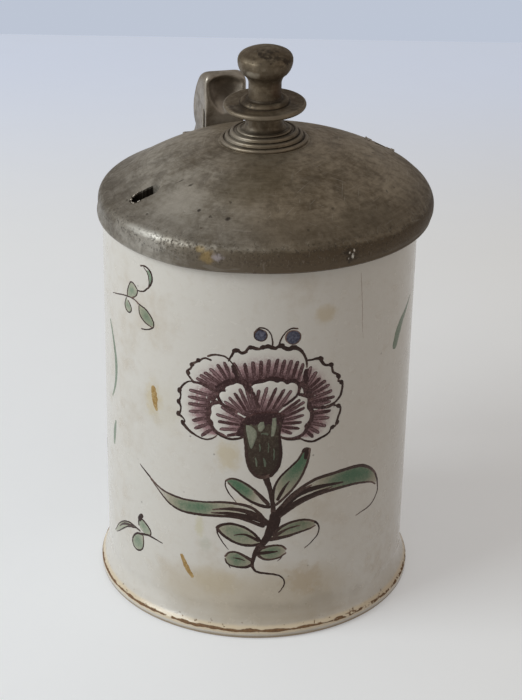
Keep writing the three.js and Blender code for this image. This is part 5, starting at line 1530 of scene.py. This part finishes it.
def make_handle(material, count=150, sides=48):
    path = handle_path(count)
    way = walked(path)
    heading = np.gradient(path, axis=0)
    heading /= np.linalg.norm(heading, axis=1)[:, None]
    points, lengthwise, outer = [], [], []
    for i, (centre, (ty, tz)) in enumerate(zip(path, heading)):
        t = i / (count - 1)
        near_wall = max(0.0, 1 - min(t, 1 - t) / LUTING_SHARE)
        luting = 1 + (LUTING_THICKNESS - 1) * near_wall ** 2
        half_width = (HANDLE_WIDTH + (HANDLE_TIP_WIDTH - HANDLE_WIDTH) * t) * luting / 2
        half_thick = (HANDLE_THICKNESS + (HANDLE_TIP_THICKNESS - HANDLE_THICKNESS) * t) * luting / 2
        for j in range(sides):
            angle = math.tau * j / sides
            across = math.copysign(abs(math.cos(angle)) ** 0.85, math.cos(angle)) * half_width
            y, z = centre + np.array((-tz, ty)) * (math.sin(angle) * half_thick)
            y = max(y, math.sqrt((BODY_RADIUS - HANDLE_ROOT_DEPTH) ** 2 - across ** 2))
            points.append((across * MM, y * MM, z * MM))
            lengthwise.append(way[i])
            outer.append(math.sin(angle))
    ends = [tuple(range(sides)), tuple((count - 1) * sides + j for j in reversed(range(sides)))]
    handle = mesh_object("handle_form", points, faces=row_faces(0, count, sides, closed=True) + ends)
    note_values(handle.data, "lengthwise", lengthwise)
    note_values(handle.data, "outer", outer)
    wear_material(handle, material)
    return settle(handle, "strap_handle", CREASE)


# Cast pieces

def round_off(piece, low, high, rounds, steps=8):
    """Rounds a piece's corners more and more between two heights, after filling it out a little."""
    group = piece.vertex_groups.new(name="upper")
    level = np.clip(np.ceil((spots_of(piece.data)[:, 2] / MM - low) / (high - low) * steps), 0, steps).astype(int)
    for step in range(1, steps + 1):
        group.add(np.flatnonzero(level == step).tolist(), step / steps, "REPLACE")
    swell = piece.modifiers.new("fill", "DISPLACE")
    swell.strength = 0.35 * MM
    swell.mid_level = 0
    swell.vertex_group = "upper"
    wear_smoothing(piece, rounds, "upper")
    return settle(piece, piece.name)


def press_down(shape, way):
    """Presses the strap over the rim down a little."""
    for vertex in shape.verts:
        _, y, z = vertex.co / MM
        if y > STRAP_FRONT_Y and STRAP_LOW_Z < z < STRAP_TOP_Z and (z > STRAP_MIDDLE_Z or y > STRAP_HEEL_Y):
            vertex.co.z -= way * MM


def spread_top(piece):
    """Broadens the thumbpiece's top towards the right."""
    spots = spots_of(piece.data)
    share = share_of(spots[:, 0] / MM, 0, THUMBPIECE_HALF) * share_of(spots[:, 2] / MM, 141, 146)
    spots[:, 0] += THUMBPIECE_SPREAD * MM * share
    move_spots(piece.data, spots)


def cast_copy(nodes, name, material, grain=0.22, rounds=3, pressed=0.0, rounding=None):
    """A cast piece: the plain solid's shape with its edges softened, as they leave the mould."""
    shape = bmesh.new()
    for node in nodes:
        shape.from_mesh(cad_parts[node].data)
    bmesh.ops.remove_doubles(shape, verts=shape.verts, dist=1e-6)
    press_down(shape, pressed)
    mesh = bpy.data.meshes.new(name + "_form")
    shape.to_mesh(mesh)
    shape.free()
    piece = link(bpy.data.objects.new(name + "_form", mesh))
    remesh = piece.modifiers.new("soften", "REMESH")
    remesh.mode = "VOXEL"
    remesh.voxel_size = grain * MM
    wear_smoothing(piece, rounds)
    piece = settle(piece, name)
    if rounding:
        piece = round_off(piece, *rounding)
        spread_top(piece)
    wear_material(piece, material)
    note_proud(piece.data)
    return piece


def note_proud(mesh, rounds=14, full=0.16):
    """Notes how far each point stands out from its surroundings, for the rubbed edges and the dark corners."""
    count = len(mesh.vertices)
    spots, normals, ends = spots_of(mesh), np.empty(count * 3), np.empty(len(mesh.edges) * 2, dtype=np.int32)
    mesh.vertices.foreach_get("normal", normals)
    mesh.edges.foreach_get("vertices", ends)
    normals, ends = normals.reshape(-1, 3), ends.reshape(-1, 2)
    degree = np.bincount(ends.ravel(), minlength=count)[:, None]
    smooth = spots.copy()
    for _ in range(rounds):
        total = np.zeros_like(smooth)
        np.add.at(total, ends[:, 0], smooth[ends[:, 1]])
        np.add.at(total, ends[:, 1], smooth[ends[:, 0]])
        smooth = smooth * 0.5 + total / degree * 0.5
    note_values(mesh, "proud", np.clip(((spots - smooth) * normals).sum(axis=1) / (full * MM), -1, 1))


# Making

handle_glaze = handle_material()
jug_glaze = body_material()
lid_pewter = lid_material()
knop_pewter = pewter_material(
    "knop_pewter", on_lid(KNOP_MARKS), Metal=(0.25, 0.205, 0.145), Patina=(0.09, 0.062, 0.036), Patina_Share=0.55,
    Turning=0.4, Pits=0.8, Scratches=0.4, Rub=0.4, Rubbed=(0.33, 0.28, 0.215))
mount_pewter = pewter_material(
    "mount_pewter", MOUNT_MARKS, Metal=(0.41, 0.36, 0.305), Patina=(0.17, 0.138, 0.102), Patina_Share=0.5,
    Turning=0.0, Pits=0.5, Scratches=0.5, Rub=0.4, Rubbed=(0.56, 0.515, 0.455))

body = turn("glazed_body", jug_profile(), jug_glaze, 240, unevenness=0.12, uneven_scale=22.0, seed=3.0)
bulge(body, VIEW_TURN, WALL_BULGE_AT_FOOT, WALL_BULGE_AT_RIM)
hand_over(body, "jug", "faience", "faience_body")

lid = cut_slots(turn("domed_lid_form", lid_profile(), lid_pewter, 240, LID_SHIFT, 0.1, 30.0, 7.0), lid_pewter)
dent_lid(lid)
hand_over(lid, "lid", "pewter_lid", "lid_shell")
burr_curves = curve_object("slot_burrs", burr_lines())
wear_tree(burr_curves, build_torn_edge(), Thickness=0.3 * MM, Unevenness=0.3 * MM, Seed=4.0, Material=mount_pewter)
burrs = settle(burr_curves, "slot_burrs")
note_proud(burrs.data, 6, 0.1)
dent_lid(burrs)
hand_over(burrs, "lid", "pewter_lid")
knop = turn("turned_knop", knop_profile(), knop_pewter, 128, LID_SHIFT, 0.05, 60.0, 11.0)
lean(knop, LID_RISE_ACROSS, 0, 0, 1)
lean(knop, 0, KNOP_RISE_BACK, CROWN_Z + 3, CROWN_Z + 9)
hand_over(knop, "lid", "pewter_lid", "lid_knop")
hand_over(make_handle(handle_glaze), "jug", "faience", "faience_handle")

pin = turn("peened_pin", pin_profile(), mount_pewter, 40)
pin.data.transform(Matrix.Translation((0, HINGE_Y * MM, HINGE_Z * MM)) @ Matrix.Rotation(math.pi / 2, 4, "Y"))
hand_over(pin, "jug", "pewter_mount", "hinge_pin")
clasp = cast_copy(["handle_clasp"], "cast_clasp", mount_pewter)
hand_over(clasp, "jug", "pewter_mount", "handle_clasp")
thumb = cast_copy(["thumbpiece", "lid_hinge_leaf"], "rolled_thumbpiece", mount_pewter, 0.25, 8, 0.45, (146, 153, 90))
hand_over(thumb, "lid", "pewter_mount", "thumbpiece", "lid_hinge_leaf")

PAINT_LAYER = build_paint_layer(build_lay_on_wall())
BRUSH_LINES = build_brush_lines(PAINT_LAYER)
pigments = {name: pigment_material(name, *look) for name, *look in (
    ("manganese", (.42, .29, .26), (.043, .018, .013), 0.35, 0.12),
    ("petal_purple", (.5, .32, .36), (.085, .036, .038), 0.6, 0.35, 0.25),
    ("petal_dark", (.42, .25, .26), (.05, .018, .019), 0.7, 0.3),
    ("calyx_brown", (.34, .31, .24), (.055, .034, .022), 0.6, 0.2),
    ("lobe_green", (.5, .53, .44), (.16, .2, .15), 0.7, 0.2),
    ("leaf_green", (.55, .53, .44), (.125, .26, .165), 0.5, 0.2),
    ("sprig_green", (.68, .72, .62), (.22, .36, .27), 0.5, 0.2),
    ("grey_green", (.5, .6, .5), (.2, .3, .24), 0.4, 0.3),
    ("cobalt", (.24, .26, .38), (.04, .042, .085), 1.4, 0.35),
    ("ochre", (.9, .72, .4), (.48, .29, .08), 0.9, 0.4))}
paint_front()
paint_sides()


# Room, light and camera

TURN_VIEW = Matrix.Rotation(VIEW_TURN, 4, "Z")
CAMERA_STAND = (0, -0.56991, 0.354905)
CAMERA_AIM = (-0.450194, -0.017393, -0.002853)
CAMERA_LENS = 97.71
FILM_WIDTH = 36


def make_floor(half_width=2.5, front=-1.4, back=0.63, shine=0.42):
    """A pale cloth that ends behind the jug, darker and warmer on its right as painted shade; the room behind it is a
    little bluer.
    """
    corners = [(-half_width, front, 0), (half_width, front, 0), (half_width, back, 0), (-half_width, back, 0)]
    floor = mesh_object("pale_floor", [TURN_VIEW @ Vector(c) for c in corners], faces=[(0, 1, 2, 3)])
    material, t, shader = new_material("pale_cloth")
    place = t.node("ShaderNodeTexCoord").outputs["Object"]
    side, depth = (t.vector("DOT_PRODUCT", place, tuple(TURN_VIEW @ Vector(way))) for way in ((1, 0, 0), (0, 1, 0)))
    # Painted shade: the cloth is darker and warmer to the right, where the jug's shadow falls.
    near = t.mix_colour(t.ramp(side, -0.15, 0.4), (0.66, 0.672, 0.688), (0.585, 0.57, 0.55))
    far = t.mix_colour(t.ramp(depth, 0.25, 0.6), near, (0.6, 0.655, 0.78))
    colour = t.mix_colour(t.times(t.noise(place, 40.0), 0.08), far, (0.5, 0.5, 0.52))
    path = t.node("ShaderNodeLightPath").outputs
    seen = t.math("MAXIMUM", path["Is Camera Ray"], t.math("MAXIMUM", path["Is Glossy Ray"],
                                                           path["Is Transmission Ray"]))
    for socket, value in (("Base Color", colour), ("Roughness", 0.8), ("Specular IOR Level", 0.2),
                          ("Emission Color", colour), ("Emission Strength", t.times(seen, shine))):
        t.feed(shader[socket], value)
    wear_material(floor, material)


def make_room():
    world = bpy.data.worlds.new("room")
    world.use_nodes = True
    world.node_tree.nodes.clear()
    t = Tree(world.node_tree)
    path = t.node("ShaderNodeLightPath").outputs
    seen = t.math("MAXIMUM", path["Is Camera Ray"], path["Is Transmission Ray"])
    lit = t.node("ShaderNodeBackground", {0: (1.0, 0.93, 0.86), 1: 0.34})
    shown = t.node("ShaderNodeBackground", {0: (0.51, 0.56, 0.66), 1: 1.0})
    t.node("ShaderNodeOutputWorld", {0: t.node("ShaderNodeMixShader", {0: seen, 1: lit, 2: shown})})
    bpy.context.scene.world = world


def make_lamp(name, place, target, width, power, colour):
    lamp = bpy.data.lights.new(name, "AREA")
    lamp.size = width
    lamp.energy = power
    lamp.color = colour
    holder = link(bpy.data.objects.new(name, lamp))
    holder.location = TURN_VIEW @ Vector(place)
    direction = TURN_VIEW @ Vector(target) - holder.location
    holder.rotation_euler = direction.to_track_quat("-Z", "Y").to_euler()


def make_camera():
    camera = bpy.data.cameras.new("photographer")
    camera.lens = CAMERA_LENS
    camera.sensor_width = FILM_WIDTH
    camera.clip_start = 0.05
    holder = link(bpy.data.objects.new("photographer", camera))
    pitch, roll, yaw = CAMERA_AIM
    aim = (Matrix.Rotation(yaw + VIEW_TURN, 4, "Z") @ Matrix.Rotation(pitch, 4, "X")
           @ Matrix.Rotation(roll, 4, "Y"))
    holder.matrix_world = (Matrix.Translation(TURN_VIEW @ Vector(CAMERA_STAND)) @ aim
                           @ Matrix.Rotation(math.pi / 2, 4, "X"))
    bpy.context.scene.camera = holder


make_floor()
make_room()
make_lamp("window", (-1.0, -0.42, 0.8), (0, 0, 0.08), 0.8, 11.5, (0.9, 0.97, 1.0))
make_lamp("room_glow", (1.2, -0.6, 0.7), (0, 0, 0.08), 0.9, 0.7, (1.0, 0.85, 0.7))
make_camera()
bpy.context.scene.view_settings.view_transform = "Standard"
